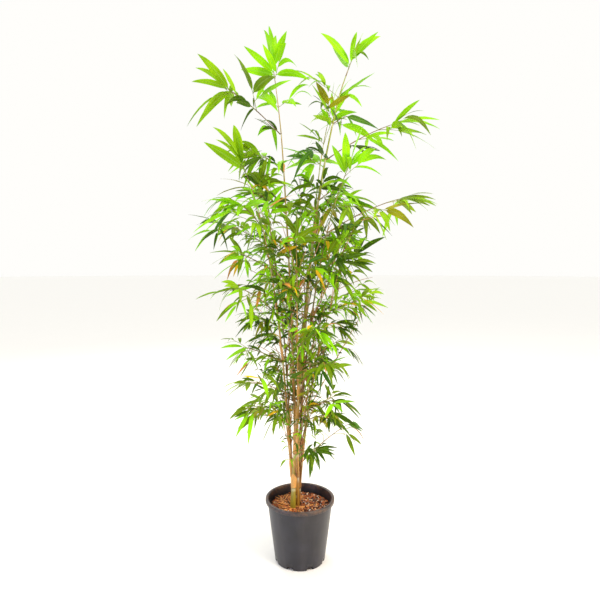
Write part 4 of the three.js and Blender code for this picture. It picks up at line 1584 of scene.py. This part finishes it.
class BAMBOO_OT_leaves(bpy.types.Operator):
    """Grows the leaves, dealt into pieces by their colour"""

    bl_idname = "bamboo.leaves"
    bl_label = "Leaves"

    def execute(self, context):
        settings = context.scene.bamboo_foliage
        dealt = {tone: [] for tone in (*LOW_MIX, *OLD_TONES)}
        nodes = {tone: set() for tone in dealt}
        fan_tones = {}
        for spray in plant().sprays:
            draw = seeded(SEEDS["tone"] + spray["number"])
            for leaf in spray["leaves"]:
                if leaf["fan"] not in fan_tones:
                    fan_tones[leaf["fan"]] = tone_of(leaf, draw)
                old = draw() < within(OLD_SHARE, min(leaf["tip"][2] / REACH["top"], 1.0))
                tone = OLD_TONES[draw() < 0.5] if old else fan_tones[leaf["fan"]]
                dealt[tone].append(leaf)
                nodes[tone].add(spray["name"])
        for number, (tone, leaves) in enumerate(dealt.items()):
            if leaves:
                parts = blade_corners(leaves, BLADE_SEED + number, settings.thickness / MM)
                material = leaf_material(f"leaf_blade_{tone}", getattr(settings, tone))
                settle(piece(f"leaves_{tone}", parts), material, sorted(nodes[tone]))
        return {"FINISHED"}


PICTURE_WIDTH = 600
SENSOR_WIDTH = 36
FLOOR_RADIUS = 40
# The lamps: their names, places, sizes, powers in watts and colours. They all point at one height.
LAMPS = (
    ("key", (1.5, -1.4, 2.4), 1.1, 50, "#fff4e4"),
    ("fill", (-1.8, -1.0, 1.0), 1.2, 8, "#f2f4ff"),
    ("back", (-0.9, 1.9, 2.2), 1.2, 26, "#fffaf0"),
    ("low_cool", (-1.2, -1.0, 0.2), 0.35, 5, "#8ea4ff"),
    ("low_warm", (1.35, -0.35, 0.25), 0.35, 9, "#ffd4a4"),
)
LIT_HEIGHT = 0.55


class BAMBOO_OT_stage(bpy.types.Operator):
    """Sets up the camera, the pale floor and the soft light"""

    bl_idname = "bamboo.stage"
    bl_label = "Stage"

    def execute(self, context):
        scene = context.scene
        settings = scene.bamboo_stage
        self.camera(scene, settings)
        self.floor(settings)
        self.light(scene, settings)
        return {"FINISHED"}

    @staticmethod
    def camera(scene, settings):
        data = bpy.data.cameras.new("camera")
        data.sensor_width = SENSOR_WIDTH
        data.lens = settings.focal_px / PICTURE_WIDTH * SENSOR_WIDTH
        data.clip_start = 0.01
        camera = bpy.data.objects.new("camera", data)
        camera.location = (0.0, -settings.distance, settings.height)
        camera.rotation_euler = (math.radians(90) - settings.pitch, 0, 0)
        scene.collection.objects.link(camera)
        scene.camera = camera

    @staticmethod
    def floor(settings):
        bm = bmesh.new()
        bmesh.ops.create_circle(bm, cap_ends=True, segments=96, radius=FLOOR_RADIUS)
        ground = from_bmesh("floor", bm)
        ground.data.materials.append(floor_material(settings.floor))

    @staticmethod
    def light(scene, settings):
        world = bpy.data.worlds.new("studio")
        scene.world = world
        world.use_nodes = True
        background = world.node_tree.nodes["Background"]
        background.inputs["Color"].default_value = (*settings.sky, 1)
        background.inputs["Strength"].default_value = settings.surround
        for name, place, size, power, colour in LAMPS:
            data = bpy.data.lights.new(name, "AREA")
            data.color = linear(colour)[:3]
            data.shape = "DISK"
            data.size = size
            data.energy = power * settings.power
            lamp = bpy.data.objects.new(name, data)
            lamp.location = place
            aim = Vector((0, 0, LIT_HEIGHT)) - Vector(place)
            lamp.rotation_euler = aim.to_track_quat("-Z", "Y").to_euler()
            scene.collection.objects.link(lamp)
        scene.view_settings.view_transform = "Standard"


class BAMBOO_PT_panel(bpy.types.Panel):
    """Lists the pieces and their settings"""

    bl_idname = "BAMBOO_PT_panel"
    bl_label = "Potted Bamboo"
    bl_space_type = "VIEW_3D"
    bl_region_type = "UI"
    bl_category = "Bamboo"

    def draw(self, context):
        for name, group in GROUPS.items():
            box = self.layout.box()
            for key in group.__annotations__:
                box.prop(getattr(context.scene, name), key)
        for operator in OPERATORS:
            self.layout.operator(operator.bl_idname)


GROUPS = dict(bamboo_pot=PotSettings, bamboo_mix=MixSettings, bamboo_canes=CaneSettings,
              bamboo_foliage=FoliageSettings, bamboo_stage=StageSettings)
OPERATORS = (BAMBOO_OT_stage, BAMBOO_OT_pot, BAMBOO_OT_potting_mix, BAMBOO_OT_canes, BAMBOO_OT_sheaths,
             BAMBOO_OT_twigs, BAMBOO_OT_leaves)


def register():
    for cls in (*GROUPS.values(), *OPERATORS, BAMBOO_PT_panel):
        bpy.utils.register_class(cls)
    for name, group in GROUPS.items():
        setattr(bpy.types.Scene, name, PointerProperty(type=group))


def unregister():
    for name in GROUPS:
        delattr(bpy.types.Scene, name)
    for cls in reversed((*GROUPS.values(), *OPERATORS, BAMBOO_PT_panel)):
        bpy.utils.unregister_class(cls)


def main():
    register()
    bpy.ops.bamboo.stage()
    bpy.ops.bamboo.pot()
    bpy.ops.bamboo.potting_mix()
    bpy.ops.bamboo.canes()
    bpy.ops.bamboo.sheaths()
    bpy.ops.bamboo.twigs()
    bpy.ops.bamboo.leaves()


if __name__ == "__main__":
    main()
